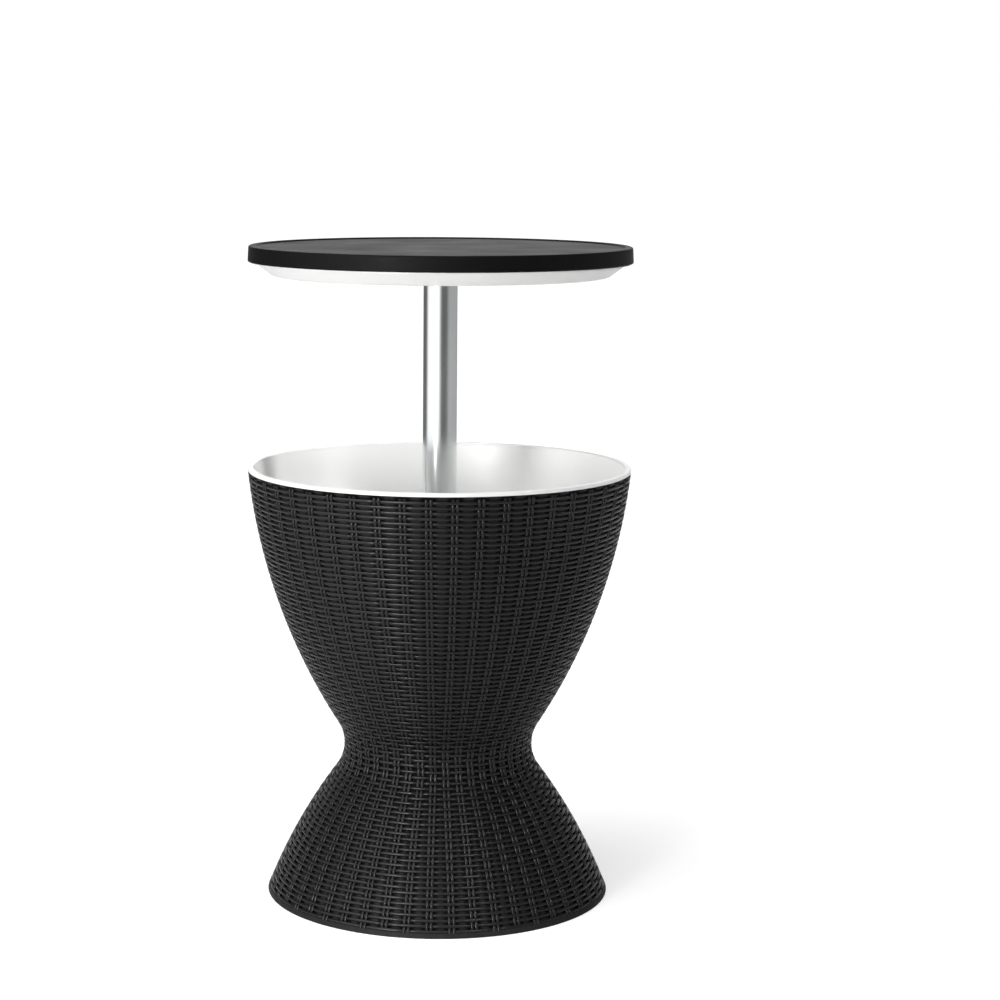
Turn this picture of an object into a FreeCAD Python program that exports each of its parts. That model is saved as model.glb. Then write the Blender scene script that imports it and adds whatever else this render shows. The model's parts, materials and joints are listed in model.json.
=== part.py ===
"""Patio cooler table: an hourglass body with a woven look, a tub for ice, and a lid that lifts on a pole.

Every turned piece is drawn as a closed outline of (radius, height) points and spun about +Z. Lengths are in
millimetres. The origin is on the floor, at the centre of the foot. The table top is drawn raised.
"""

import math
import os

import FreeCAD, Part

# --- body: the outer surface is three arcs, each tangent to the next ---
RIM_RADIUS = 246.7
RIM_HEIGHT = 554.0
WAIST_RADIUS = 122.2
WAIST_HEIGHT = 194.0
WAIST_ROUND = 57.3
BASE_RADIUS = 221.9  # where the lower flank's arc meets the floor, inside the foot band
UPPER_BULGE = 769.3
LOWER_BULGE = 688.5
SHELL_WALL = 4.5
PLATE_THICKNESS = 4.0
PARTING_BELOW_WAIST = 5.3
BAND_HEIGHT = 6.3
BAND_PROUD = 0.7
BAND_ROUND = 0.3
FOOT_ROUND = 0.8
FOOT_BEAD = 2.2
FOOT_BEAD_HEIGHT = 6.0
RIB_COUNT = 6
RIB_THICKNESS = 3.0
RIB_DROP = 45.0
RIB_FIRST_ANGLE = 15.0
EDGE_BREAK = 1.0
OVERCUT = 1.0

# --- tub ---
TUB_WALL = 2.7
TUB_SHELL_CLEARANCE = 0.25
TUB_LIP_THICKNESS = 4.5
TUB_LIP_ROUND = 1.6
TUB_FLOOR_ABOVE_WAIST = 102.0
TUB_CORNER_GAP = 20.0
TUB_CORNER_ROUND = 26.0
TUB_LEAN = 1.3
COLUMN_TOP_WALL = 3.0
COLUMN_FOOT_WALL = 6.0
COLUMN_CLEARANCE = 1.2
COLUMN_BELOW_CAP = 18.0
COLUMN_SHOULDER = 4.0
COLUMN_FLANGE_EDGE = 8.5
COLUMN_FLANGE = 3.0

# --- pole and the tube that it slides in ---
POLE_RADIUS = 22.0
POLE_WALL = 1.5
TUBE_BORE_CLEARANCE = 1.3
TUBE_WALL = 2.0
TUBE_TOP_BELOW_RIM = 54.0
TUBE_FLOOR_GAP = 6.0
LIFT_TRAVEL = 262.0
LOCK_TURN = 30.0
LOCK_HEIGHTS = (0.0, 0.5, 1.0)
RUNNING_CLEARANCE = 0.2
SLIDE_CLEARANCE = 0.3
PRESS_CLEARANCE = 0.05
BUSH_LENGTH = 40.0
BUSH_FLANGE = 3.0
CAP_TOP = 4.0
CAP_WALL = 3.2
CAP_SKIRT_LAP = 8.0
CAP_ROUND = 1.5
SEAL_HEIGHT = 2.4
SEAL_WIDTH = 2.7
POLE_FLOOR_GAP = 10.0
PLUG_FLANGE = 4.0
PLUG_NECK_BELOW_POLE = 7.2
PLUG_DEPTH = 29.0
GLIDE_HEIGHT = 7.7
PIN_RADIUS = 4.0
PIN_ABOVE_POLE_END = 11.0
LANE_CLEARANCE = 0.5
LANE_END = 3.0
TUBE_DISC_EDGE = 8.0
TUBE_DISC_THICKNESS = 2.5
TUBE_DISC_CLEARANCE = 3.0
TUBE_HUB_WALL = 3.5
TUBE_HUB_HEIGHT = 12.0

# --- lid, which is also the table top ---
LID_SHORT_OF_RIM = 0.9
LID_SKIRT_HEIGHT = 20.2
LID_SKIRT_WALL = 3.0
LID_PLATE = 3.0
LID_RIM_WIDTH = 9.0
LID_RIM_RISE = 1.8
LID_EDGE_ROUND = 2.2
LID_FOOT_ROUND = 1.4
LID_DRAFT = 1.0
UNDER_LIP_SHOWS = 1.2
UNDER_LIP_THICKNESS = 2.7
UNDER_WALL = 3.0
UNDER_DEPTH = 16.3
UNDER_TAPER = 22.0
UNDER_ROUND = 8.0
UNDER_TUB_CLEARANCE = 1.6
LID_BOSS_COUNT = 8
LID_BOSS_FROM_EDGE = 47.5
LID_BOSS_RADIUS = 6.0
LID_RING_RIBS = (0.35, 0.62)
LID_RIB_THICKNESS = 2.5
POLE_DISC_EDGE = 13.0
POLE_DISC_THICKNESS = 3.0
POLE_HUB_WALL = 3.5
POLE_HUB_HEIGHT = 22.0
CROSS_BOLT_RADIUS = 3.0
CROSS_HEAD_RADIUS = 5.0
CROSS_HEAD_HEIGHT = 3.5
CROSS_NUT_FLAT = 10.0
CROSS_NUT_HEIGHT = 5.0
CROSS_BOLT_TAIL = 1.0
CROSS_SOCKET_FLAT = 4.8
CROSS_SOCKET_DEPTH = 1.8

# --- screws ---
SCREW_RADIUS = 2.05
SCREW_PILOT = 2.1
SCREW_CLEARANCE_HOLE = 2.7
SCREW_HEAD_RADIUS = 4.4
SCREW_HEAD_HEIGHT = 2.5
SCREW_GRIP = 12.0
BOSS_RADIUS = 6.0
BOSS_HEIGHT = 14.0
RECESS_WIDTH = 1.1
RECESS_REACH = 2.4
RECESS_DEPTH = 1.2
WAIST_SCREW_COUNT = 6
WAIST_SCREW_FROM_WALL = 17.5
FLANGE_SCREW_COUNT = 4
TUBE_SCREW_FROM_TUBE = 19.7
POLE_SCREW_FROM_POLE = 20.0
POLE_SCREW_LENGTH = 8.0

# --- drain ---
DRAIN_FROM_WALL = 29.5
DRAIN_BORE = 7.5
DRAIN_BARREL = 11.9
DRAIN_HOLE_CLEARANCE = 0.3
DRAIN_TUBE = 10.0
DRAIN_TUBE_BELOW_PLATE = 33.0
DRAIN_FLANGE_RADIUS = 19.0
DRAIN_FLANGE = 2.5
DRAIN_GASKET = 1.5
DRAIN_BARREL_LENGTH = 17.0
LOCKNUT_HEIGHT = 6.0
LOCKNUT_FLAT = 31.0
STOPPER_HEAD_RADIUS = 13.0
STOPPER_HEAD = 4.0
STOPPER_STEM = 6.6
STOPPER_DEPTH = 16.0
STOPPER_GRIP = (18.0, 4.0, 12.0)
SEAL_RING_GROOVE = 1.0
SEAL_RING_HEIGHT = 3.0
SEAL_RING_BELOW_HEAD = 7.0

FULL_TURN = 360.0
HEXAGON = 6
SAME_POINT = 1e-6
SHORTEST_ARC = 0.01


# --- drawing and solids ---
def vector(point, height=None):
    """A point of an outline, or a point in space."""
    if height is None:
        return FreeCAD.Vector(point[0], 0, point[1])
    return FreeCAD.Vector(point[0], point[1], height)


def closed_face(start, *steps):
    """A face in the XZ plane. A step is the next corner, or a (middle, end) pair for an arc."""
    edges, at = [], start
    for step in steps + (start,):
        is_arc = isinstance(step[0], tuple)
        end = step[1] if is_arc else step
        if math.dist(at, end) > SAME_POINT:
            if is_arc:
                edges.append(Part.Arc(vector(at), vector(step[0]), vector(end)).toShape())
            else:
                edges.append(Part.makeLine(vector(at), vector(end)))
        at = end
    return Part.Face(Part.Wire(edges))


def rounded(before, corner, after, radius):
    """Outline steps for a corner rounded to the radius."""
    spans = [math.dist(corner, before), math.dist(corner, after)]
    back = [(before[i] - corner[i]) / spans[0] for i in (0, 1)]
    ahead = [(after[i] - corner[i]) / spans[1] for i in (0, 1)]
    half = math.acos(back[0] * ahead[0] + back[1] * ahead[1]) / 2
    trim = radius / math.tan(half)
    depth = radius / math.sin(half) - radius
    lean = math.hypot(back[0] + ahead[0], back[1] + ahead[1])
    start, end, middle = [
        tuple(corner[i] + trim * back[i] for i in (0, 1)),
        tuple(corner[i] + trim * ahead[i] for i in (0, 1)),
        tuple(corner[i] + depth * (back[i] + ahead[i]) / lean for i in (0, 1)),
    ]
    return [start, (middle, end)]


def arc_step(centre, radius, start, end):
    """An outline step along a circle from one angle to another, in radians."""
    middle = (start + end) / 2
    points = [
        (centre[0] + radius * math.cos(turn), centre[1] + radius * math.sin(turn)) for turn in (middle, end)
    ]
    return tuple(points)


def arc_along(start, end, normal):
    """Centre and radius of the arc through both points whose outward normal at the start has that angle."""
    across = math.cos(normal) * (start[0] - end[0]) + math.sin(normal) * (start[1] - end[1])
    radius = math.dist(start, end) ** 2 / (2 * across)
    return (start[0] - radius * math.cos(normal), start[1] - radius * math.sin(normal)), radius


def turned(start, *steps, angle=FULL_TURN):
    """The solid that the outline sweeps about the Z axis."""
    axis = FreeCAD.Vector(0, 0, 1)
    return closed_face(start, *steps).revolve(FreeCAD.Vector(0, 0, 0), axis, angle)


def ring(inner, outer, bottom, top):
    return turned((inner, bottom), (outer, bottom), (outer, top), (inner, top))


def rod(radius, bottom, top, at=(0.0, 0.0)):
    return Part.makeCylinder(radius, top - bottom, vector(at, bottom))


def cross_rod(radius, start, end, height):
    """A round bar along X at a height."""
    return Part.makeCylinder(radius, end - start, vector((start, 0), height), FreeCAD.Vector(1, 0, 0))


def block(x_size, y_size, bottom, top, x_centre=0.0):
    corner = vector((x_centre - x_size / 2, -y_size / 2), bottom)
    return Part.makeBox(x_size, y_size, top - bottom, corner)


def hexagon(across_flats, bottom, top):
    corners = circle_of(across_flats / 2 / math.cos(math.pi / HEXAGON), HEXAGON)
    wire = Part.makePolygon([vector(corner, bottom) for corner in corners + corners[:1]])
    return Part.Face(wire).extrude(FreeCAD.Vector(0, 0, top - bottom))


def around(radius, degrees):
    return (radius * math.cos(math.radians(degrees)), radius * math.sin(math.radians(degrees)))


def circle_of(radius, count, first=0.0):
    return [around(radius, first + i * FULL_TURN / count) for i in range(count)]


def spun(shape, degrees):
    copy = shape.copy()
    copy.rotate(FreeCAD.Vector(0, 0, 0), FreeCAD.Vector(0, 0, 1), degrees)
    return copy


def moved(shape, at):
    copy = shape.copy()
    copy.translate(vector(at, 0))
    return copy


def save(name, shape):
    solids = shape.Solids
    if not solids or not all(solid.isValid() for solid in solids):
        raise ValueError(f"{name} is not made of valid solids")
    shape.exportStep(os.path.join("parts", name + ".step"))
    print(name, len(solids), "solid(s),", round(sum(solid.Volume for solid in solids)), "mm3")


# --- the body's outer surface ---
def tangent_centre(end_point, bulge):
    """Centre of the arc of that radius through the end point that also touches the waist's circle."""
    waist = (WAIST_RADIUS + WAIST_ROUND, WAIST_HEIGHT)
    span = math.dist(end_point, waist)
    along = (bulge**2 - (bulge + WAIST_ROUND) ** 2 + span**2) / (2 * span)
    across = math.sqrt(bulge**2 - along**2)
    step = ((waist[0] - end_point[0]) / span, (waist[1] - end_point[1]) / span)
    foot = (end_point[0] + along * step[0], end_point[1] + along * step[1])
    centres = [
        (foot[0] - side * across * step[1], foot[1] + side * across * step[0]) for side in (-1, 1)
    ]
    return min(centres)


WAIST_CENTRE = (WAIST_RADIUS + WAIST_ROUND, WAIST_HEIGHT)
UPPER_CENTRE = tangent_centre((RIM_RADIUS, RIM_HEIGHT), UPPER_BULGE)
LOWER_CENTRE = tangent_centre((BASE_RADIUS, 0.0), LOWER_BULGE)


def joint_height(centre, bulge, inset):
    """Where a flank's arc, moved inwards by inset, meets the waist's arc."""
    share = (bulge - inset) / (bulge + WAIST_ROUND)
    return centre[1] + share * (WAIST_CENTRE[1] - centre[1])


def body_radius(height, inset=0.0):
    """Radius of the body's outer surface at a height, or of the surface inset inside it."""
    if height > joint_height(UPPER_CENTRE, UPPER_BULGE, inset):
        rise = height - UPPER_CENTRE[1]
        return UPPER_CENTRE[0] + math.sqrt((UPPER_BULGE - inset) ** 2 - rise**2)
    if height < joint_height(LOWER_CENTRE, LOWER_BULGE, inset):
        rise = height - LOWER_CENTRE[1]
        return LOWER_CENTRE[0] + math.sqrt((LOWER_BULGE - inset) ** 2 - rise**2)
    rise = height - WAIST_CENTRE[1]
    return WAIST_CENTRE[0] - math.sqrt((WAIST_ROUND + inset) ** 2 - rise**2)


def body_arcs(start, end, inset=0.0):
    """Outline steps along the body's surface from one height to another."""
    joints = [
        joint_height(LOWER_CENTRE, LOWER_BULGE, inset),
        joint_height(UPPER_CENTRE, UPPER_BULGE, inset),
    ]
    low, high = min(start, end) + SHORTEST_ARC, max(start, end) - SHORTEST_ARC
    stops = [height for height in joints if low < height < high]
    stops = [start] + (stops if end > start else stops[::-1]) + [end]
    steps = []
    for here, there in zip(stops, stops[1:]):
        middle = (here + there) / 2
        steps.append(((body_radius(middle, inset), middle), (body_radius(there, inset), there)))
    return steps


# --- heights and radii that follow ---
PARTING_Z = WAIST_HEIGHT - PARTING_BELOW_WAIST
PLATE_TOP = PARTING_Z + PLATE_THICKNESS
BASE_PLATE_BOTTOM = PARTING_Z - PLATE_THICKNESS
TUB_TOP = RIM_HEIGHT + TUB_LIP_THICKNESS
TUB_FLOOR_HEIGHT = WAIST_HEIGHT + TUB_FLOOR_ABOVE_WAIST
TUBE_TOP_HEIGHT = RIM_HEIGHT - TUBE_TOP_BELOW_RIM
MOUTH_RADIUS = body_radius(RIM_HEIGHT, SHELL_WALL + TUB_SHELL_CLEARANCE + TUB_WALL)
POLE_BORE = POLE_RADIUS - POLE_WALL
TUBE_BORE = POLE_RADIUS + TUBE_BORE_CLEARANCE
TUBE_RADIUS = TUBE_BORE + TUBE_WALL
TUBE_SCREW_CIRCLE = TUBE_RADIUS + TUBE_SCREW_FROM_TUBE
TUBE_DISC_RADIUS = TUBE_SCREW_CIRCLE + TUBE_DISC_EDGE
COLUMN_BORE = TUBE_RADIUS + COLUMN_CLEARANCE
COLUMN_TOP = TUBE_TOP_HEIGHT - COLUMN_BELOW_CAP
COLUMN_TOP_RADIUS = COLUMN_BORE + COLUMN_TOP_WALL
COLUMN_FOOT_RADIUS = COLUMN_BORE + COLUMN_FOOT_WALL
COLUMN_FLANGE_RADIUS = TUBE_SCREW_CIRCLE + COLUMN_FLANGE_EDGE
SHOULDER_RADIUS = COLUMN_FOOT_RADIUS + COLUMN_SHOULDER
PLUG_NECK_RADIUS = POLE_RADIUS - PLUG_NECK_BELOW_POLE
PLUG_BOTTOM = POLE_FLOOR_GAP + LIFT_TRAVEL
GLIDE_BOTTOM = PLUG_BOTTOM + PLUG_FLANGE + SLIDE_CLEARANCE
POLE_BOTTOM = GLIDE_BOTTOM + GLIDE_HEIGHT + SLIDE_CLEARANCE
PIN_HEIGHT = POLE_BOTTOM + PIN_ABOVE_POLE_END
LANE_HALF_WIDTH = PIN_RADIUS + LANE_CLEARANCE
PIN_REACH = TUBE_RADIUS - SLIDE_CLEARANCE
UNDER_LIP_BOTTOM = TUB_TOP + LIFT_TRAVEL
SKIRT_BOTTOM = UNDER_LIP_BOTTOM + UNDER_LIP_SHOWS
LID_TOP = SKIRT_BOTTOM + LID_SKIRT_HEIGHT
LID_RADIUS = RIM_RADIUS - LID_SHORT_OF_RIM
SKIRT_BORE = LID_RADIUS - LID_SKIRT_WALL
TABLE_FACE = LID_TOP - LID_RIM_RISE
LID_PLATE_BOTTOM = TABLE_FACE - LID_PLATE
UNDER_RADIUS = MOUTH_RADIUS - UNDER_TUB_CLEARANCE
UNDER_FLOOR_RADIUS = UNDER_RADIUS - UNDER_TAPER
UNDER_BOTTOM = UNDER_LIP_BOTTOM - UNDER_DEPTH
UNDER_FLOOR = UNDER_BOTTOM + UNDER_WALL
POLE_DISC_TOP = UNDER_FLOOR + POLE_DISC_THICKNESS
POLE_HUB_TOP = POLE_DISC_TOP + POLE_HUB_HEIGHT
POLE_HUB_RADIUS = POLE_RADIUS + POLE_HUB_WALL
POLE_SCREW_CIRCLE = POLE_RADIUS + POLE_SCREW_FROM_POLE
POLE_DISC_RADIUS = POLE_SCREW_CIRCLE + POLE_DISC_EDGE
LID_BOSS_CIRCLE = LID_RADIUS - LID_BOSS_FROM_EDGE
DRAIN_OFFSET = WAIST_RADIUS - SHELL_WALL - DRAIN_FROM_WALL
DRAIN_SEAT = TUB_FLOOR_HEIGHT + DRAIN_GASKET + DRAIN_FLANGE


# --- fasteners ---
def cross_recess(bottom):
    bar = block(2 * RECESS_REACH, RECESS_WIDTH, bottom, bottom + RECESS_DEPTH)
    return bar.fuse(spun(bar, 90))


def pan_screw(head_seat, tip):
    """A screw driven upwards, its round head under head_seat."""
    bottom = head_seat - SCREW_HEAD_HEIGHT
    corner, seat = (SCREW_HEAD_RADIUS, bottom), (SCREW_HEAD_RADIUS, head_seat)
    body = turned(
        (0.0, bottom),
        *rounded((0.0, bottom), corner, seat, SCREW_HEAD_HEIGHT / 2),
        seat,
        (SCREW_RADIUS, head_seat),
        (SCREW_RADIUS, tip - SCREW_RADIUS),
        (0.0, tip),
    )
    return body.cut(cross_recess(bottom))


def flush_screw(face, tip):
    """A countersunk screw driven upwards, its head flush with face."""
    shoulder = face + SCREW_HEAD_RADIUS - SCREW_RADIUS
    body = turned(
        (0.0, face),
        (SCREW_HEAD_RADIUS, face),
        (SCREW_RADIUS, shoulder),
        (SCREW_RADIUS, tip - SCREW_RADIUS),
        (0.0, tip),
    )
    return body.cut(cross_recess(face))


def countersink(face, top):
    """What a flush screw's hole takes out of the plate above face."""
    wide = SCREW_HEAD_RADIUS + PRESS_CLEARANCE
    narrow = SCREW_RADIUS + PRESS_CLEARANCE
    return turned((0.0, face), (wide, face), (narrow, face + wide - narrow), (narrow, top), (0.0, top))


def waist_screw_places():
    circle = body_radius(WAIST_HEIGHT, SHELL_WALL) - WAIST_SCREW_FROM_WALL
    return circle_of(circle, WAIST_SCREW_COUNT, FULL_TURN / WAIST_SCREW_COUNT / 2)


def tube_screw_places():
    return circle_of(TUBE_SCREW_CIRCLE, FLANGE_SCREW_COUNT, FULL_TURN / FLANGE_SCREW_COUNT / 2)


def pole_screw_places():
    return circle_of(POLE_SCREW_CIRCLE, FLANGE_SCREW_COUNT, FULL_TURN / FLANGE_SCREW_COUNT / 2)


def lid_screw_places():
    return circle_of(LID_BOSS_CIRCLE, LID_BOSS_COUNT, FULL_TURN / LID_BOSS_COUNT / 2)


# --- body shells ---
def upper_shell():
    hole = TUBE_RADIUS + SLIDE_CLEARANCE
    shell = turned(
        (hole, PARTING_Z),
        (body_radius(PARTING_Z), PARTING_Z),
        *body_arcs(PARTING_Z, RIM_HEIGHT),
        (body_radius(RIM_HEIGHT, SHELL_WALL), RIM_HEIGHT),
        *body_arcs(RIM_HEIGHT, PLATE_TOP, SHELL_WALL),
        (hole, PLATE_TOP),
    )
    for at in waist_screw_places():
        shell = shell.fuse(rod(BOSS_RADIUS, PLATE_TOP - OVERCUT, PLATE_TOP + BOSS_HEIGHT, at))
    for at in waist_screw_places():
        shell = shell.cut(rod(SCREW_PILOT, PARTING_Z, PLATE_TOP + BOSS_HEIGHT, at))
    for at in tube_screw_places():
        shell = shell.cut(rod(SCREW_CLEARANCE_HOLE, PARTING_Z, PLATE_TOP, at))
    drain_hole = rod(DRAIN_TUBE + DRAIN_HOLE_CLEARANCE, PARTING_Z, PLATE_TOP, (DRAIN_OFFSET, 0))
    return shell.cut(drain_hole)


def base_ribs(inner_edge):
    """Gussets between the base's top plate and its wall."""
    low = BASE_PLATE_BOTTOM - RIB_DROP
    wedge = turned(
        (inner_edge, BASE_PLATE_BOTTOM),
        (body_radius(BASE_PLATE_BOTTOM, SHELL_WALL), BASE_PLATE_BOTTOM),
        *body_arcs(BASE_PLATE_BOTTOM, low, SHELL_WALL),
    )
    reach = 2 * BASE_RADIUS
    blade = block(reach, RIB_THICKNESS, low, BASE_PLATE_BOTTOM, reach / 2)
    return [
        wedge.common(spun(blade, RIB_FIRST_ANGLE + i * FULL_TURN / RIB_COUNT)) for i in range(RIB_COUNT)
    ]


def base_shell():
    hole = TUBE_DISC_RADIUS + TUBE_DISC_CLEARANCE
    band_top = (body_radius(BAND_HEIGHT) + BAND_PROUD, BAND_HEIGHT)
    band_low = (body_radius(0) + BAND_PROUD, 0.0)
    bead = body_radius(0, SHELL_WALL) - FOOT_BEAD
    band_meets_flank = (body_radius(BAND_HEIGHT), BAND_HEIGHT)
    shell = turned(
        (hole, BASE_PLATE_BOTTOM),
        (hole, PARTING_Z),
        (body_radius(PARTING_Z), PARTING_Z),
        *body_arcs(PARTING_Z, BAND_HEIGHT),
        *rounded(band_meets_flank, band_top, band_low, BAND_ROUND),
        *rounded(band_top, band_low, (bead, 0.0), FOOT_ROUND),
        (bead, 0.0),
        (bead, FOOT_BEAD_HEIGHT),
        (body_radius(FOOT_BEAD_HEIGHT, SHELL_WALL), FOOT_BEAD_HEIGHT),
        *body_arcs(FOOT_BEAD_HEIGHT, BASE_PLATE_BOTTOM, SHELL_WALL),
    )
    for rib in base_ribs(hole):
        shell = shell.fuse(rib)
    for at in waist_screw_places():
        shell = shell.cut(rod(SCREW_CLEARANCE_HOLE, BASE_PLATE_BOTTOM, PARTING_Z, at))
    drain_hole = rod(DRAIN_TUBE + DRAIN_HOLE_CLEARANCE, BASE_PLATE_BOTTOM, PARTING_Z, (DRAIN_OFFSET, 0))
    return shell.cut(drain_hole)


# --- tub ---
def tub_wall():
    """Steps down the tub's inner face, the edge of its flat underside, and steps back up its outer face."""
    mouth = (MOUTH_RADIUS, RIM_HEIGHT)
    hub_height = TUB_FLOOR_HEIGHT + TUB_CORNER_ROUND
    corner_radius = body_radius(hub_height, SHELL_WALL + TUB_WALL) - TUB_CORNER_GAP
    shell_normal = math.atan2(mouth[1] - UPPER_CENTRE[1], mouth[0] - UPPER_CENTRE[0])
    normal = shell_normal - math.radians(TUB_LEAN)
    centre, bulge = arc_along(mouth, (corner_radius, TUB_FLOOR_HEIGHT), normal)
    hub_reach = bulge - TUB_CORNER_ROUND
    hub = (centre[0] + math.sqrt(hub_reach**2 - (hub_height - centre[1]) ** 2), hub_height)
    meet = math.atan2(hub[1] - centre[1], hub[0] - centre[0])
    outer_bulge = bulge + TUB_WALL
    outer_round = TUB_CORNER_ROUND + TUB_WALL
    outer_start = math.asin((mouth[1] - centre[1]) / outer_bulge)
    down = -math.pi / 2
    inner = [
        arc_step(centre, bulge, normal, meet),
        arc_step(hub, TUB_CORNER_ROUND, meet, down),
    ]
    outer = [
        arc_step(hub, outer_round, down, meet),
        arc_step(centre, outer_bulge, meet, outer_start),
    ]
    return inner, (hub[0], TUB_FLOOR_HEIGHT - TUB_WALL), outer


def tub():
    inner, underside, outer = tub_wall()
    lip_outside = (RIM_RADIUS, RIM_HEIGHT)
    lip_top = ((RIM_RADIUS, TUB_TOP), (MOUTH_RADIUS, TUB_TOP))
    mouth = (MOUTH_RADIUS, RIM_HEIGHT)
    column_hole = COLUMN_FOOT_RADIUS + PRESS_CLEARANCE
    shape = turned(
        lip_outside,
        *rounded(lip_outside, lip_top[0], lip_top[1], TUB_LIP_ROUND),
        *rounded(lip_top[0], lip_top[1], mouth, TUB_LIP_ROUND),
        mouth,
        *inner,
        (column_hole, TUB_FLOOR_HEIGHT),
        (column_hole, underside[1]),
        underside,
        *outer,
    )
    hole_radius = DRAIN_BARREL + DRAIN_HOLE_CLEARANCE
    return shape.cut(rod(hole_radius, underside[1], TUB_FLOOR_HEIGHT, (DRAIN_OFFSET, 0)))


def tub_column():
    """The sleeve in the tub's middle. It stands on the upper shell's plate and carries the tub's floor."""
    underside = TUB_FLOOR_HEIGHT - TUB_WALL
    flange_top = PLATE_TOP + COLUMN_FLANGE
    shape = turned(
        (COLUMN_TOP_RADIUS, COLUMN_TOP),
        (COLUMN_BORE, COLUMN_TOP),
        (COLUMN_BORE, PLATE_TOP),
        (COLUMN_FLANGE_RADIUS, PLATE_TOP),
        (COLUMN_FLANGE_RADIUS, flange_top),
        (COLUMN_TOP_RADIUS, flange_top),
        (COLUMN_TOP_RADIUS, underside - COLUMN_SHOULDER),
        (SHOULDER_RADIUS, underside - COLUMN_SHOULDER),
        (SHOULDER_RADIUS, underside),
        (COLUMN_FOOT_RADIUS, underside),
        (COLUMN_FOOT_RADIUS, TUB_FLOOR_HEIGHT),
    )
    for at in tube_screw_places():
        shape = shape.fuse(rod(BOSS_RADIUS, flange_top - OVERCUT, PLATE_TOP + BOSS_HEIGHT, at))
    for at in tube_screw_places():
        shape = shape.cut(rod(SCREW_PILOT, PLATE_TOP, PLATE_TOP + BOSS_HEIGHT, at))
    return shape


# --- drain ---
def drain_fitting():
    floor_bottom = TUB_FLOOR_HEIGHT + DRAIN_GASKET
    body = turned(
        (DRAIN_BORE, BASE_PLATE_BOTTOM - DRAIN_TUBE_BELOW_PLATE),
        (DRAIN_TUBE, BASE_PLATE_BOTTOM - DRAIN_TUBE_BELOW_PLATE),
        (DRAIN_TUBE, TUB_FLOOR_HEIGHT - DRAIN_BARREL_LENGTH),
        (DRAIN_BARREL, TUB_FLOOR_HEIGHT - DRAIN_BARREL_LENGTH),
        (DRAIN_BARREL, floor_bottom),
        (DRAIN_FLANGE_RADIUS, floor_bottom),
        (DRAIN_FLANGE_RADIUS, DRAIN_SEAT),
        (DRAIN_BORE, DRAIN_SEAT),
    )
    return moved(body, (DRAIN_OFFSET, 0))


def drain_gasket():
    body = ring(DRAIN_BARREL, DRAIN_FLANGE_RADIUS, TUB_FLOOR_HEIGHT, TUB_FLOOR_HEIGHT + DRAIN_GASKET)
    return moved(body, (DRAIN_OFFSET, 0))


def drain_locknut():
    top = TUB_FLOOR_HEIGHT - TUB_WALL
    body = hexagon(LOCKNUT_FLAT, top - LOCKNUT_HEIGHT, top)
    return moved(body.cut(rod(DRAIN_BARREL, top - LOCKNUT_HEIGHT, top)), (DRAIN_OFFSET, 0))


def seal_ring_height():
    return DRAIN_SEAT - SEAL_RING_BELOW_HEAD


def drain_stopper():
    groove = STOPPER_STEM - SEAL_RING_GROOVE
    low = seal_ring_height() - SEAL_RING_HEIGHT
    body = turned(
        (0.0, DRAIN_SEAT - STOPPER_DEPTH),
        (STOPPER_STEM - EDGE_BREAK, DRAIN_SEAT - STOPPER_DEPTH),
        (STOPPER_STEM, DRAIN_SEAT - STOPPER_DEPTH + EDGE_BREAK),
        (STOPPER_STEM, low),
        (groove, low),
        (groove, seal_ring_height()),
        (STOPPER_STEM, seal_ring_height()),
        (STOPPER_STEM, DRAIN_SEAT),
        (STOPPER_HEAD_RADIUS, DRAIN_SEAT),
        (STOPPER_HEAD_RADIUS, DRAIN_SEAT + STOPPER_HEAD - EDGE_BREAK),
        (STOPPER_HEAD_RADIUS - EDGE_BREAK, DRAIN_SEAT + STOPPER_HEAD),
        (0.0, DRAIN_SEAT + STOPPER_HEAD),
    )
    length, width, height = STOPPER_GRIP
    top = DRAIN_SEAT + STOPPER_HEAD
    grip = block(width, length, top - OVERCUT, top + height)
    upright = [edge for edge in grip.Edges if math.isclose(edge.BoundBox.ZLength, height + OVERCUT)]
    body = body.fuse(grip.makeFillet(width / 4, upright))
    return moved(body, (DRAIN_OFFSET, 0))


def stopper_seal():
    top = seal_ring_height()
    low = top - SEAL_RING_HEIGHT
    inner = STOPPER_STEM - SEAL_RING_GROOVE
    outer = DRAIN_BORE - PRESS_CLEARANCE
    middle = (top + low) / 2
    body = turned((inner, low), (STOPPER_STEM, low), ((outer, middle), (STOPPER_STEM, top)), (inner, top))
    return moved(body, (DRAIN_OFFSET, 0))


# --- outer tube with its two ladder slots, and what guides the pole ---
def ladder_slot():
    """A lane for the cross pin and the glide ring's key, with a pocket to turn into at each lock height."""
    lane_bottom = GLIDE_BOTTOM - LIFT_TRAVEL - LANE_END
    lane_top = PIN_HEIGHT + LANE_HALF_WIDTH
    inner, outer = TUBE_BORE - OVERCUT, TUBE_RADIUS + OVERCUT
    lane = block(outer, 2 * LANE_HALF_WIDTH, lane_bottom, lane_top, outer / 2)
    half_angle = math.degrees(math.asin(LANE_HALF_WIDTH / TUBE_BORE))
    shapes = [lane]
    for share in LOCK_HEIGHTS:
        middle = PIN_HEIGHT - share * LIFT_TRAVEL
        low, high = middle - LANE_HALF_WIDTH, middle + LANE_HALF_WIDTH
        corners = ((inner, low), (outer, low), (outer, high), (inner, high))
        pocket = turned(*corners, angle=LOCK_TURN + half_angle)
        shapes.append(spun(pocket, -LOCK_TURN - half_angle))
    return shapes


def outer_tube():
    tube = ring(TUBE_BORE, TUBE_RADIUS, TUBE_FLOOR_GAP, TUBE_TOP_HEIGHT)
    for cutter in ladder_slot():
        tube = tube.cut(cutter).cut(spun(cutter, 180))
    return tube


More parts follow.
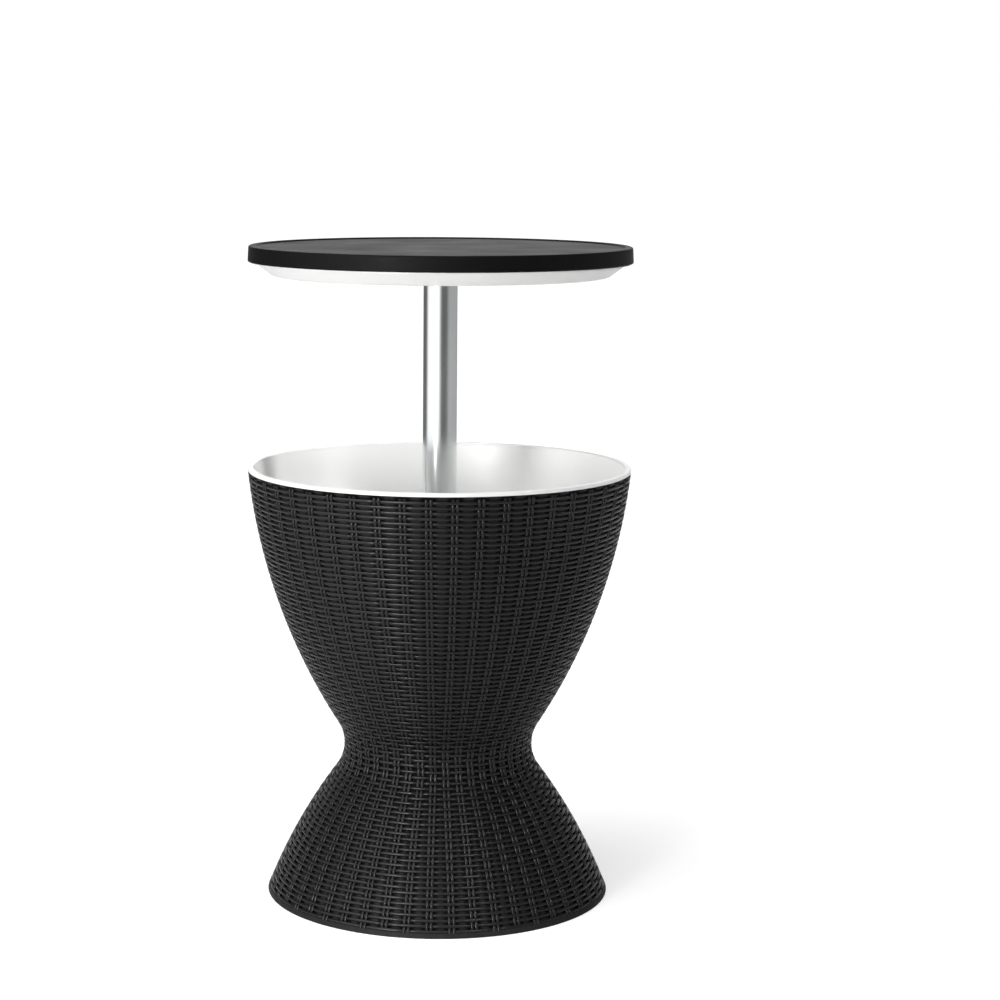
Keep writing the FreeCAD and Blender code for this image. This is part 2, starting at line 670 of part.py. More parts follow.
def tube_flange():
    top = PARTING_Z
    disc_bottom = top - TUBE_DISC_THICKNESS
    hub = TUBE_RADIUS + TUBE_HUB_WALL
    bore = TUBE_RADIUS + PRESS_CLEARANCE
    flange = turned(
        (bore, top),
        (TUBE_DISC_RADIUS, top),
        (TUBE_DISC_RADIUS, disc_bottom),
        (hub, disc_bottom),
        (hub, disc_bottom - TUBE_HUB_HEIGHT),
        (bore, disc_bottom - TUBE_HUB_HEIGHT),
    )
    for at in tube_screw_places():
        flange = flange.cut(rod(SCREW_CLEARANCE_HOLE, disc_bottom, top, at))
    return flange


def guide_bush():
    inner = POLE_RADIUS + RUNNING_CLEARANCE
    outer = TUBE_BORE - PRESS_CLEARANCE
    top = TUBE_TOP_HEIGHT + BUSH_FLANGE
    return turned(
        (inner, TUBE_TOP_HEIGHT - BUSH_LENGTH),
        (outer, TUBE_TOP_HEIGHT - BUSH_LENGTH),
        (outer, TUBE_TOP_HEIGHT),
        (COLUMN_TOP_RADIUS, TUBE_TOP_HEIGHT),
        (COLUMN_TOP_RADIUS, top),
        (inner, top),
    )


def wiper_seal():
    low = TUBE_TOP_HEIGHT + BUSH_FLANGE
    inner = POLE_RADIUS + RUNNING_CLEARANCE
    return ring(inner, inner + SEAL_WIDTH - SLIDE_CLEARANCE, low, low + SEAL_HEIGHT)


def column_cap():
    seat = TUBE_TOP_HEIGHT + BUSH_FLANGE
    top = seat + CAP_TOP
    bore = COLUMN_TOP_RADIUS + SLIDE_CLEARANCE
    outside = bore + CAP_WALL
    bottom = COLUMN_TOP - CAP_SKIRT_LAP
    widen = (COLUMN_FOOT_RADIUS - COLUMN_TOP_RADIUS) * CAP_SKIRT_LAP / (COLUMN_TOP - TUB_FLOOR_HEIGHT)
    mouth = POLE_RADIUS + SLIDE_CLEARANCE
    groove = POLE_RADIUS + RUNNING_CLEARANCE + SEAL_WIDTH
    return turned(
        (bore + widen, bottom),
        (outside, bottom),
        *rounded((outside, bottom), (outside, top), (mouth, top), CAP_ROUND),
        (mouth, top),
        (mouth, seat + SEAL_HEIGHT),
        (groove, seat + SEAL_HEIGHT),
        (groove, seat),
        (bore, seat),
        (bore, COLUMN_TOP),
    )


# --- pole ---
def pole_tube():
    tube = ring(POLE_BORE, POLE_RADIUS, POLE_BOTTOM, POLE_HUB_TOP)
    pin_hole = cross_rod(PIN_RADIUS + PRESS_CLEARANCE, -TUBE_RADIUS, TUBE_RADIUS, PIN_HEIGHT)
    bolt_hole_radius = CROSS_BOLT_RADIUS + PRESS_CLEARANCE
    bolt_hole = cross_rod(bolt_hole_radius, -TUBE_RADIUS, TUBE_RADIUS, cross_bolt_height())
    return tube.cut(pin_hole).cut(bolt_hole)


def foot_plug():
    plug = turned(
        (0.0, PLUG_BOTTOM),
        (POLE_RADIUS - EDGE_BREAK, PLUG_BOTTOM),
        (POLE_RADIUS, PLUG_BOTTOM + EDGE_BREAK),
        (POLE_RADIUS, PLUG_BOTTOM + PLUG_FLANGE),
        (PLUG_NECK_RADIUS, PLUG_BOTTOM + PLUG_FLANGE),
        (PLUG_NECK_RADIUS, POLE_BOTTOM),
        (POLE_BORE - PRESS_CLEARANCE, POLE_BOTTOM),
        (POLE_BORE - PRESS_CLEARANCE, POLE_BOTTOM + PLUG_DEPTH),
        (0.0, POLE_BOTTOM + PLUG_DEPTH),
    )
    return plug.cut(cross_rod(PIN_RADIUS + PRESS_CLEARANCE, -TUBE_RADIUS, TUBE_RADIUS, PIN_HEIGHT))


def glide_ring():
    outer = TUBE_BORE - SLIDE_CLEARANCE
    inner = PLUG_NECK_RADIUS + SLIDE_CLEARANCE
    body = ring(inner, outer, GLIDE_BOTTOM, GLIDE_BOTTOM + GLIDE_HEIGHT)
    keys = block(2 * PIN_REACH, 2 * PIN_RADIUS, GLIDE_BOTTOM, GLIDE_BOTTOM + GLIDE_HEIGHT)
    return body.fuse(keys.cut(rod(inner + OVERCUT, GLIDE_BOTTOM, GLIDE_BOTTOM + GLIDE_HEIGHT)))


def lock_pin():
    return cross_rod(PIN_RADIUS, -PIN_REACH, PIN_REACH, PIN_HEIGHT)


def cross_bolt_height():
    return (POLE_DISC_TOP + POLE_HUB_TOP) / 2


def pole_flange():
    bore = POLE_RADIUS + PRESS_CLEARANCE
    flange = turned(
        (bore, UNDER_FLOOR),
        (POLE_DISC_RADIUS, UNDER_FLOOR),
        (POLE_DISC_RADIUS, POLE_DISC_TOP),
        (POLE_HUB_RADIUS, POLE_DISC_TOP),
        (POLE_HUB_RADIUS, POLE_HUB_TOP),
        (bore, POLE_HUB_TOP),
    )
    for at in pole_screw_places():
        flange = flange.cut(rod(SCREW_PILOT, UNDER_FLOOR, POLE_DISC_TOP, at))
    reach = POLE_HUB_RADIUS
    return flange.cut(cross_rod(CROSS_BOLT_RADIUS + PRESS_CLEARANCE, -reach, reach, cross_bolt_height()))


def cross_bolt():
    height = cross_bolt_height()
    start = -POLE_HUB_RADIUS - CROSS_HEAD_HEIGHT
    end = POLE_HUB_RADIUS + CROSS_NUT_HEIGHT + CROSS_BOLT_TAIL
    head = cross_rod(CROSS_HEAD_RADIUS, start, -POLE_HUB_RADIUS, height)
    socket = hexagon(CROSS_SOCKET_FLAT, start, start + CROSS_SOCKET_DEPTH)
    socket.rotate(FreeCAD.Vector(0, 0, start), FreeCAD.Vector(0, 1, 0), 90)
    socket.translate(FreeCAD.Vector(start, 0, height - start))
    return head.fuse(cross_rod(CROSS_BOLT_RADIUS, -POLE_HUB_RADIUS, end, height)).cut(socket)


def cross_nut():
    nut = hexagon(CROSS_NUT_FLAT, 0, CROSS_NUT_HEIGHT)
    nut.rotate(FreeCAD.Vector(0, 0, 0), FreeCAD.Vector(0, 1, 0), 90)
    nut.translate(FreeCAD.Vector(POLE_HUB_RADIUS, 0, cross_bolt_height()))
    reach = POLE_HUB_RADIUS + 2 * CROSS_NUT_HEIGHT
    return nut.cut(cross_rod(CROSS_BOLT_RADIUS + PRESS_CLEARANCE, 0, reach, cross_bolt_height()))


# --- lid ---
def lid_top():
    skirt_foot = (LID_RADIUS + LID_DRAFT / 2, SKIRT_BOTTOM)
    skirt_head = (LID_RADIUS - LID_DRAFT / 2, LID_TOP)
    inner_rim = (skirt_head[0] - LID_RIM_WIDTH, LID_TOP)
    shape = turned(
        (0.0, LID_PLATE_BOTTOM),
        (SKIRT_BORE, LID_PLATE_BOTTOM),
        (SKIRT_BORE, SKIRT_BOTTOM),
        *rounded((SKIRT_BORE, SKIRT_BOTTOM), skirt_foot, skirt_head, LID_FOOT_ROUND),
        *rounded(skirt_foot, skirt_head, inner_rim, LID_EDGE_ROUND),
        inner_rim,
        (inner_rim[0] - LID_RIM_RISE, TABLE_FACE),
        (0.0, TABLE_FACE),
    )
    for share in LID_RING_RIBS:
        radius = share * LID_RADIUS
        rib_foot = UNDER_FLOOR + SLIDE_CLEARANCE
        shape = shape.fuse(ring(radius, radius + LID_RIB_THICKNESS, rib_foot, LID_PLATE_BOTTOM + OVERCUT))
    for at in lid_screw_places():
        shape = shape.fuse(rod(LID_BOSS_RADIUS, UNDER_FLOOR, LID_PLATE_BOTTOM + OVERCUT, at))
    for at in lid_screw_places():
        shape = shape.cut(rod(SCREW_PILOT, UNDER_FLOOR, UNDER_FLOOR + SCREW_GRIP, at))
    return shape


def lid_under():
    hole = POLE_RADIUS + SLIDE_CLEARANCE
    centre = (hole, UNDER_BOTTOM)
    foot = (UNDER_FLOOR_RADIUS, UNDER_BOTTOM)
    shoulder = (UNDER_RADIUS, UNDER_LIP_BOTTOM)
    lip_radius = SKIRT_BORE - PRESS_CLEARANCE
    lip_top = UNDER_LIP_BOTTOM + UNDER_LIP_THICKNESS
    slope = math.atan2(UNDER_DEPTH, UNDER_TAPER)
    inset = UNDER_WALL * math.tan(slope / 2)
    inner_foot = (UNDER_FLOOR_RADIUS - inset, UNDER_FLOOR)
    inner_head = (inner_foot[0] + (lip_top - UNDER_FLOOR) / math.tan(slope), lip_top)
    shape = turned(
        centre,
        *rounded(centre, foot, shoulder, UNDER_ROUND),
        shoulder,
        (lip_radius, UNDER_LIP_BOTTOM),
        (lip_radius, lip_top),
        *rounded((lip_radius, lip_top), inner_head, inner_foot, UNDER_LIP_THICKNESS / 2),
        *rounded(inner_head, inner_foot, (hole, UNDER_FLOOR), UNDER_ROUND - UNDER_WALL),
        (hole, UNDER_FLOOR),
    )
    for at in lid_screw_places() + pole_screw_places():
        shape = shape.cut(moved(countersink(UNDER_BOTTOM, UNDER_FLOOR), at))
    return shape


# --- all the pieces ---
def screws(screw, places):
    return Part.makeCompound([moved(screw, at) for at in places])


def main():
    os.makedirs("parts", exist_ok=True)
    disc_bottom = PARTING_Z - TUBE_DISC_THICKNESS
    save("base_shell", base_shell())
    save("upper_shell", upper_shell())
    save("tub", tub())
    save("tub_column", tub_column())
    save("outer_tube", outer_tube())
    save("tube_flange", tube_flange())
    save("guide_bush", guide_bush())
    save("wiper_seal", wiper_seal())
    save("column_cap", column_cap())
    screw_tip = PLATE_TOP + SCREW_GRIP
    save("waist_screws", screws(pan_screw(BASE_PLATE_BOTTOM, screw_tip), waist_screw_places()))
    save("tube_flange_screws", screws(pan_screw(disc_bottom, screw_tip), tube_screw_places()))
    save("drain_fitting", drain_fitting())
    save("drain_gasket", drain_gasket())
    save("drain_locknut", drain_locknut())
    save("drain_stopper", drain_stopper())
    save("stopper_seal", stopper_seal())
    save("glide_ring", glide_ring())
    save("pole_tube", pole_tube())
    save("pole_foot_plug", foot_plug())
    save("lock_pin", lock_pin())
    save("pole_flange", pole_flange())
    save("pole_cross_bolt", cross_bolt())
    save("pole_cross_nut", cross_nut())
    save("lid_top", lid_top())
    save("lid_under", lid_under())
    lid_screw = flush_screw(UNDER_BOTTOM, UNDER_FLOOR + SCREW_GRIP - OVERCUT)
    save("lid_screws", screws(lid_screw, lid_screw_places()))
    pole_screw = flush_screw(UNDER_BOTTOM, UNDER_BOTTOM + POLE_SCREW_LENGTH)
    save("pole_flange_screws", screws(pole_screw, pole_screw_places()))
    print("top of the raised lid at", round(LID_TOP, 2), "mm")


main()
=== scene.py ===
"""Looks of a patio cooler table: a woven hourglass body, a white tub, and a round top on a metal pole."""

import json
import math
from dataclasses import dataclass
from functools import partial

import bmesh
import bpy
from bpy.props import FloatProperty, FloatVectorProperty, IntProperty, PointerProperty
from mathutils import Matrix, Vector


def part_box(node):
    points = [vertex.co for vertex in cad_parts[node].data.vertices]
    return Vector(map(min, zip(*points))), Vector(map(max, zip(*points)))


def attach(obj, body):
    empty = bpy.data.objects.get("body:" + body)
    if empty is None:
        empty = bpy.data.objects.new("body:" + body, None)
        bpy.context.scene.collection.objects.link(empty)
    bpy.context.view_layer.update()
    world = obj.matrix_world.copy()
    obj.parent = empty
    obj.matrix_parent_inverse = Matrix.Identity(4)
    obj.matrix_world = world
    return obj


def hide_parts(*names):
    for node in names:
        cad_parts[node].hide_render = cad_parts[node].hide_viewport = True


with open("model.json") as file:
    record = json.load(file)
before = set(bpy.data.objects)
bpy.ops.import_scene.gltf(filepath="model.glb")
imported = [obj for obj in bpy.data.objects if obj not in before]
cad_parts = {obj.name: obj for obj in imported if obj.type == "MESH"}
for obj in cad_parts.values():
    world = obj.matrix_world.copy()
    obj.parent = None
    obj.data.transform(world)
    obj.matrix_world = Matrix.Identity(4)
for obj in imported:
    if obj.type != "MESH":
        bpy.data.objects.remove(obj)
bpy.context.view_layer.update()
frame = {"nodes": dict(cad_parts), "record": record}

bl_info = {
    "name": "Cooler table",
    "version": (1, 0, 0),
    "blender": (4, 5, 0),
    "location": "3D View > Sidebar > Cooler table",
    "description": "Makes the woven shells, the finishes and the stage of a cooler table",
    "category": "Add Mesh",
}

RIM_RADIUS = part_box("upper_shell")[1].x
RIM_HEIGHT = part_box("upper_shell")[1].z
PARTING_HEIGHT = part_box("upper_shell")[0].z

# Metres: how close points are merged, how close to the outline a shell's outer skin lies, how far edges are
# stepped in, and the steps along the outline that give a slope and a line.
MERGE = 1e-6
ON_SURFACE = 0.0006
STEP_IN = 0.0002
SLOPE_STEP = 0.001
MERIDIAN_STEP = 0.0015

# Edges of a shell's wall that bend more than this stay sharp.
SHARP_EDGE = math.radians(35.0)

# Points around a strand, along a row from one pair of stakes to the next, and along a stake from row to row.
SECTION_POINTS = 8
ROW_SAMPLES = 8
STAKE_SAMPLES = 4


# --- sizes and colours that a user would change ---
def length_prop(name, description, default):
    return FloatProperty(
        name=name, description=description, default=default, min=0.0, precision=5,
        unit="LENGTH", subtype="DISTANCE",
    )


def number_prop(name, description, default, least=1):
    return IntProperty(name=name, description=description, default=default, min=least)


def colour_prop(name, description, default):
    return FloatVectorProperty(
        name=name, description=description, default=default, size=3, min=0.0, max=1.0, subtype="COLOR"
    )


def angle_prop(name, description, degrees):
    return FloatProperty(name=name, description=description, default=math.radians(degrees), subtype="ANGLE")


class BodyOutline(bpy.types.PropertyGroup):
    """The body's outer surface: three arcs, each tangent to the next."""

    waist_radius: length_prop("Waist radius", "Smallest radius of the body", 0.1222)
    waist_height: length_prop("Waist height", "Height of the smallest radius", 0.194)
    waist_round: length_prop("Waist round", "Radius of the arc at the waist", 0.0573)
    foot_radius: length_prop("Foot radius", "Where the lower flank would meet the floor", 0.2219)
    upper_bulge: length_prop("Upper bulge", "Radius of the upper flank's arc", 0.7693)
    lower_bulge: length_prop("Lower bulge", "Radius of the lower flank's arc", 0.6885)
    rim_band: length_prop("Rim band", "Height of the smooth band at the rim", 0.0032)
    foot_band: length_prop("Foot band", "Height of the smooth band at the foot", 0.0063)


class WeaveSizes(bpy.types.PropertyGroup):
    """The woven relief: rows of strands around, pairs of stakes up and down."""

    stake_pairs: number_prop("Stake pairs", "Pairs of stakes around the body", 48, least=8)
    upper_turn: angle_prop("Upper first pair", "Angle of one pair of the upper shell from +X", -92.97)
    base_turn: angle_prop("Base first pair", "Angle of one pair of the base from +X", -92.6)
    upper_rows: number_prop("Upper rows", "Rows on the upper shell", 58)
    base_rows: number_prop("Base rows", "Rows on the base", 31)
    upper_first: length_prop("Upper first row", "From the rim down to the first row's middle", 0.0079)
    base_first: length_prop("Base first row", "From the parting line down to the first row's middle", 0.0049)
    upper_pitch: length_prop("Upper row pitch", "From row to row along the upper surface", 0.00665)
    base_pitch: length_prop("Base row pitch", "From row to row along the base's surface", 0.0067)
    upper_strand: length_prop("Upper strand height", "Height of a strand in the upper rows", 0.0042)
    base_strand: length_prop("Base strand height", "Height of a strand in the base's rows", 0.0039)
    strand_thickness: length_prop("Strand thickness", "How thick a row's strand is", 0.0024)
    stake_width: length_prop("Stake width", "Width of one stake", 0.0041)
    stake_thickness: length_prop("Stake thickness", "How thick a stake is", 0.0024)
    pair_gap: length_prop("Pair gap", "Gap between the two stakes of a pair", 0.0014)
    row_rise: length_prop("Row rise", "How far a row stands out over a pair, and dips under it", 0.0006)
    stake_rise: length_prop("Stake rise", "How far a stake stands out over a row, and dips under it", 0.0006)
    row_dip_start: length_prop("Row dip start", "From a pair's middle to where a row rises", 0.0048)
    row_dip_end: length_prop("Row dip end", "From a pair's middle to where that row is out again", 0.0090)
    stake_dip_start: length_prop("Stake dip start", "From a row's middle to where a stake rises", 0.0014)
    stake_dip_end: length_prop("Stake dip end", "From a row's middle to where it is out again", 0.0040)
    proud: length_prop("Proud", "How far the crowns of the weave stand out of the body's outline", 0.0004)
    upper_ground: length_prop("Upper ground", "From the outline down to the upper wall", 0.0026)
    base_ground: length_prop("Base ground", "From the outline down to the base's wall", 0.0040)
    unevenness: length_prop("Unevenness", "How far strands wander", 0.00025)


class FinishColours(bpy.types.PropertyGroup):
    """Colours of the finishes."""

    woven: colour_prop("Woven black", "Moulded strands", (0.0095, 0.0095, 0.0101))
    ground: colour_prop("Ground black", "Shell walls between the strands", (0.0210, 0.0210, 0.0221))
    top: colour_prop("Top black", "The table top's plastic", (0.0050, 0.0050, 0.0053))
    white: colour_prop("White", "Tub and the top's underside", (0.86, 0.86, 0.853))
    grey: colour_prop("Grey", "Guides, plug and stopper", (0.30, 0.30, 0.31))
    metal: colour_prop("Pole metal", "Satin anodised tube", (0.76, 0.77, 0.78))
    steel: colour_prop("Steel", "Screws, bolt and flange", (0.55, 0.56, 0.57))
    rubber: colour_prop("Rubber", "Seals", (0.018, 0.018, 0.019))


# --- node trees ---
# How strands wander: how fine and how stretched the noise is, how much of it moves a row in and out and a
# stake aside, and how far apart the two stakes of a pair read it.
WANDER_SCALE = 5.0
WANDER_STRETCH = 40.0
ROW_IN_AND_OUT = 0.3
STAKE_ASIDE = 0.7
STAKES_APART = 0.3


class Field:
    """A node's output that can be added, multiplied and so on; each operation adds a math node."""

    def __init__(self, net, socket):
        self.net = net
        self.socket = socket

    def math(self, operation, *others):
        node = self.net.add("ShaderNodeMath", [self, *others], operation=operation)
        return Field(self.net, node.outputs[0])

    def __add__(self, other):
        return self.math("ADD", other)

    def __sub__(self, other):
        return self.math("SUBTRACT", other)

    def __mul__(self, other):
        return self.math("MULTIPLY", other)

    def __truediv__(self, other):
        return self.math("DIVIDE", other)

    def floored(self):
        return self.math("FLOOR")

    def remainder(self, other):
        return self.math("FLOORED_MODULO", other)

    def smooth_step(self, start, end, low, high):
        """Low before start, high after end, and a smooth change between them."""
        inputs = {"Value": self, "From Min": start, "From Max": end, "To Min": low, "To Max": high}
        node = self.net.add("ShaderNodeMapRange", inputs, interpolation_type="SMOOTHSTEP")
        return Field(self.net, node.outputs[0])


class Net:
    """A node tree that is being wired."""

    def __init__(self, tree):
        self.tree = tree
        self.given = None

    def add(self, kind, inputs=(), **settings):
        """Adds a node. Inputs are a list in socket order, or a dict by socket name or number."""
        node = self.tree.nodes.new(kind)
        for name, value in settings.items():
            setattr(node, name, value)
        for key, value in inputs.items() if isinstance(inputs, dict) else enumerate(inputs):
            self.feed(node.inputs[key], value)
        return node

    def feed(self, socket, value):
        if isinstance(value, Field):
            value = value.socket
        if isinstance(value, bpy.types.NodeSocket):
            self.tree.links.new(value, socket)
        else:
            socket.default_value = value

    def out(self, kind, inputs=(), output=0, **settings):
        """One output of a new node, as a field."""
        return Field(self, self.add(kind, inputs, **settings).outputs[output])

    def open(self, name, kind, default=None):
        """Adds a named input to the tree."""
        socket = self.tree.interface.new_socket(name, in_out="INPUT", socket_type="NodeSocket" + kind)
        if default is not None:
            socket.default_value = default

    def take(self, name):
        """A named input of the tree, as a field."""
        if self.given is None:
            self.given = self.tree.nodes.new("NodeGroupInput")
        return Field(self, self.given.outputs[name])

    def close(self, **results):
        """Adds the tree's outputs; a key's underscores become spaces."""
        kinds = {"VALUE": "Float", "RGBA": "Color", "VECTOR": "Vector", "GEOMETRY": "Geometry"}
        end = self.tree.nodes.new("NodeGroupOutput")
        for name, value in results.items():
            label = name.replace("_", " ")
            kind = kinds[value.socket.type]
            self.tree.interface.new_socket(label, in_out="OUTPUT", socket_type="NodeSocket" + kind)
            self.feed(end.inputs[label], value)
        return self.tree


def polar(net, radius, angle, height):
    """A vector from a radius, an angle about Z and a height."""
    across, ahead = radius * angle.math("COSINE"), radius * angle.math("SINE")
    return net.out("ShaderNodeCombineXYZ", [across, ahead, height])


def surface_at(net, distance):
    """Radius, height and outward normal of the meridian at a distance down it."""
    curve = net.out("GeometryNodeMeshToCurve", {"Mesh": net.take("Meridian")})
    sample = net.add("GeometryNodeSampleCurve", {"Curves": curve, "Length": distance}, mode="LENGTH")
    place = net.add("ShaderNodeSeparateXYZ", [sample.outputs["Position"]])
    along = net.add("ShaderNodeSeparateXYZ", [sample.outputs["Tangent"]])
    radius, height = Field(net, place.outputs["X"]), Field(net, place.outputs["Z"])
    normal = (Field(net, along.outputs["Z"]) * -1.0, Field(net, along.outputs["X"]))
    return radius, height, normal


def dipped(net, crossings, spacing):
    """1 where a strand lies outside, and -1 where it goes under, at each odd number of crossings."""
    from_under = (crossings * math.pi).math("COSINE") * -1.0
    away = from_under.math("ARCCOSINE") / math.pi * spacing
    return away.smooth_step(net.take("Dip Start"), net.take("Dip End"), -1.0, 1.0)


def wander(net, angle, distance, seed):
    """A smooth random share from -1 to 1 over the surface."""
    down = distance * WANDER_STRETCH + seed
    vector = net.out("ShaderNodeCombineXYZ", [angle.math("COSINE"), angle.math("SINE"), down])
    noise = net.out("ShaderNodeTexNoise", {"Vector": vector, "Scale": WANDER_SCALE, "Detail": 1.0})
    return (noise - 0.5) * 2.0


def kept(net, geometry, name, value, kind="FLOAT"):
    """The geometry with a value stored on its points under a name that the finish reads."""
    inputs = {"Geometry": geometry, "Name": name, "Value": value}
    return net.out("GeometryNodeStoreNamedAttribute", inputs, data_type=kind, domain="POINT")


def swept(net, curves, normal, thickness, width, caps):
    """Strands whose section is a circle of diameter 1, scaled to the strand's thickness and width."""
    free = net.out("GeometryNodeSetCurveNormal", {"Curve": curves, "Normal": normal}, mode="FREE")
    circle = net.out("GeometryNodeCurvePrimitiveCircle", {"Resolution": SECTION_POINTS, "Radius": 0.5})
    size = net.out("ShaderNodeCombineXYZ", [thickness, width, 1.0])
    oval = net.out("GeometryNodeTransform", {"Geometry": circle, "Scale": size})
    marked = kept(net, oval, "section", net.out("GeometryNodeInputPosition"), "FLOAT_VECTOR")
    tube = net.out("GeometryNodeCurveToMesh", {"Curve": free, "Profile Curve": marked, "Fill Caps": caps})
    smooth = net.out("GeometryNodeSetShadeSmooth", {"Geometry": tube})
    whole = net.out("GeometryNodeRealizeInstances", {"Geometry": smooth})
    return net.out("GeometryNodeSetMaterial", {"Geometry": whole, "Material": net.take("Finish")})


def open_weave(net, extra):
    """Inputs that both weave trees share, then the tree's own."""
    net.open("Meridian", "Geometry")
    shared = [
        ("Stake Pairs", "Int", 48),
        ("First Stake", "Float", 0.0),
        ("First Row", "Float", 0.008),
        ("Row Pitch", "Float", 0.0066),
        ("Parity", "Int", 0),
        ("Rows", "Int", 10),
        ("Samples", "Int", 8),
        ("Thickness", "Float", 0.0024),
        ("Width", "Float", 0.0034),
        ("Depth", "Float", 0.0018),
        ("Rise", "Float", 0.001),
        ("Dip Start", "Float", 0.004),
        ("Dip End", "Float", 0.008),
        ("Unevenness", "Float", 0.0002),
        ("Seed", "Float", 0.0),
    ]
    for name, kind, default in shared + extra:
        net.open(name, kind, default)
    net.open("Finish", "Material")


def rows_tree():
    """Rings of strands, each over one pair of stakes and under the next."""
    net = Net(bpy.data.node_groups.new("woven_rows", "GeometryNodeTree"))
    open_weave(net, [])
    pairs, samples = net.take("Stake Pairs"), net.take("Samples")
    circle = net.out("GeometryNodeCurvePrimitiveCircle", {"Resolution": pairs * samples, "Radius": 1.0})
    inputs = {"Geometry": circle, "Amount": net.take("Rows")}
    copies = net.add("GeometryNodeDuplicateElements", inputs, domain="SPLINE")
    rings, row = Field(net, copies.outputs["Geometry"]), Field(net, copies.outputs["Duplicate Index"])
    place = net.out("GeometryNodeSplineParameter", output="Index") / samples
    angle = place / pairs * math.tau + net.take("First Stake")
    distance = net.take("First Row") + net.take("Row Pitch") * row
    radius, height, normal = surface_at(net, distance)
    crown = dipped(net, place + row + net.take("Parity"), radius * math.tau / pairs)
    drift = wander(net, angle, distance, net.take("Seed")) * net.take("Unevenness")
    inset = net.take("Depth") - crown * net.take("Rise") + drift * ROW_IN_AND_OUT
    across = radius - inset * normal[0] + drift * normal[1]
    middle = polar(net, across, angle, height - inset * normal[1] - drift * normal[0])
    placed = net.out("GeometryNodeSetPosition", {"Geometry": rings, "Position": middle})
    marked = kept(net, kept(net, placed, "crown", crown), "strand", distance)
    outward = polar(net, normal[0], angle, normal[1])
    return net.close(Strands=swept(net, marked, outward, net.take("Thickness"), net.take("Width"), False))


def stakes_tree():
    """Pairs of stakes down the body, each under one row and over the next."""
    net = Net(bpy.data.node_groups.new("woven_stakes", "GeometryNodeTree"))
    own = [
        ("Pair Spacing", "Float", 0.0055),
        ("First Pair", "Int", 0),
        ("Pairs Made", "Int", 24),
        ("Lead", "Float", 0.004),
        ("Tail", "Float", 0.004),
    ]
    open_weave(net, own)
    pairs, samples = net.take("Stake Pairs"), net.take("Samples")
    line = net.out("GeometryNodeCurvePrimitiveLine", {"End": (0.0, 0.0, 1.0)})
    points = net.take("Rows") * samples + 1.0
    fine = net.out("GeometryNodeResampleCurve", {"Curve": line, "Count": points}, mode="COUNT")
    inputs = {"Geometry": fine, "Amount": net.take("Pairs Made") * 2.0}
    copies = net.add("GeometryNodeDuplicateElements", inputs, domain="SPLINE")
    lines, stake = Field(net, copies.outputs["Geometry"]), Field(net, copies.outputs["Duplicate Index"])
    pair = (stake / 2.0).floored() + net.take("First Pair")
    side = stake.remainder(2.0) * 2.0 - 1.0
    start = net.take("First Row") - net.take("Lead")
    span = net.take("Row Pitch") * (net.take("Rows") - 1.0) + net.take("Lead") + net.take("Tail")
    distance = start + net.out("GeometryNodeSplineParameter", output="Factor") * span
    row = (distance - net.take("First Row")) / net.take("Row Pitch")
    crown = dipped(net, row + pair + net.take("Parity") + 1.0, net.take("Row Pitch"))
    radius, height, normal = surface_at(net, distance)
    stake_angle = pair / pairs * math.tau + net.take("First Stake")
    share = wander(net, stake_angle + side * STAKES_APART, distance, net.take("Seed") + side)
    drift = share * net.take("Unevenness")
    angle = stake_angle + (side * net.take("Pair Spacing") / 2.0 + drift * STAKE_ASIDE) / radius
    inset = net.take("Depth") - crown * net.take("Rise")
    middle = polar(net, radius - inset * normal[0], angle, height - inset * normal[1])
    placed = net.out("GeometryNodeSetPosition", {"Geometry": lines, "Position": middle})
    marked = kept(net, kept(net, placed, "crown", crown), "strand", stake + net.take("First Pair") * 2.0)
    outward = polar(net, normal[0], angle, normal[1])
    return net.close(Strands=swept(net, marked, outward, net.take("Thickness"), net.take("Width"), True))


# --- the body's outer surface ---
def tangent_centre(outline, end_point, bulge):
    """Centre of the arc of that radius through the end point that also touches the waist's circle."""
    waist = Vector((outline.waist_radius + outline.waist_round, outline.waist_height))
    end = Vector(end_point)
    span = (waist - end).length
    along = (bulge**2 - (bulge + outline.waist_round) ** 2 + span**2) / (2 * span)
    across = math.sqrt(bulge**2 - along**2)
    step = (waist - end) / span
    foot, aside = end + along * step, across * Vector((-step.y, step.x))
    return min((foot - aside, foot + aside), key=lambda point: point.x)


def surface_radius(outline, height):
    """Radius of the body's outer surface at a height."""
    waist = Vector((outline.waist_radius + outline.waist_round, outline.waist_height))
    upper = tangent_centre(outline, (RIM_RADIUS, RIM_HEIGHT), outline.upper_bulge)
    lower = tangent_centre(outline, (outline.foot_radius, 0.0), outline.lower_bulge)
    for centre, bulge, way in ((upper, outline.upper_bulge, 1), (lower, outline.lower_bulge, -1)):
        joint = centre.y + bulge / (bulge + outline.waist_round) * (waist.y - centre.y)
        if way * (height - joint) > 0:
            return centre.x + math.sqrt(bulge**2 - (height - centre.y) ** 2)
    return waist.x - math.sqrt(outline.waist_round**2 - (height - waist.y) ** 2)


def meridian(outline, top, bottom):
    """Points down the surface, close enough together to read as a curve."""
    steps = round((top - bottom) / MERIDIAN_STEP)
    heights = [top + (bottom - top) * i / steps for i in range(steps + 1)]
    return [(surface_radius(outline, height), 0.0, height) for height in heights]


def walked(line):
    """Length of a line of points."""
    return sum(math.dist(here, there) for here, there in zip(line, line[1:]))


# --- meshes ---
def link(data, name):
    """A new object in the scene, from a mesh, a lamp or a camera."""
    piece = bpy.data.objects.new(name, data)
    bpy.context.scene.collection.objects.link(piece)
    return piece


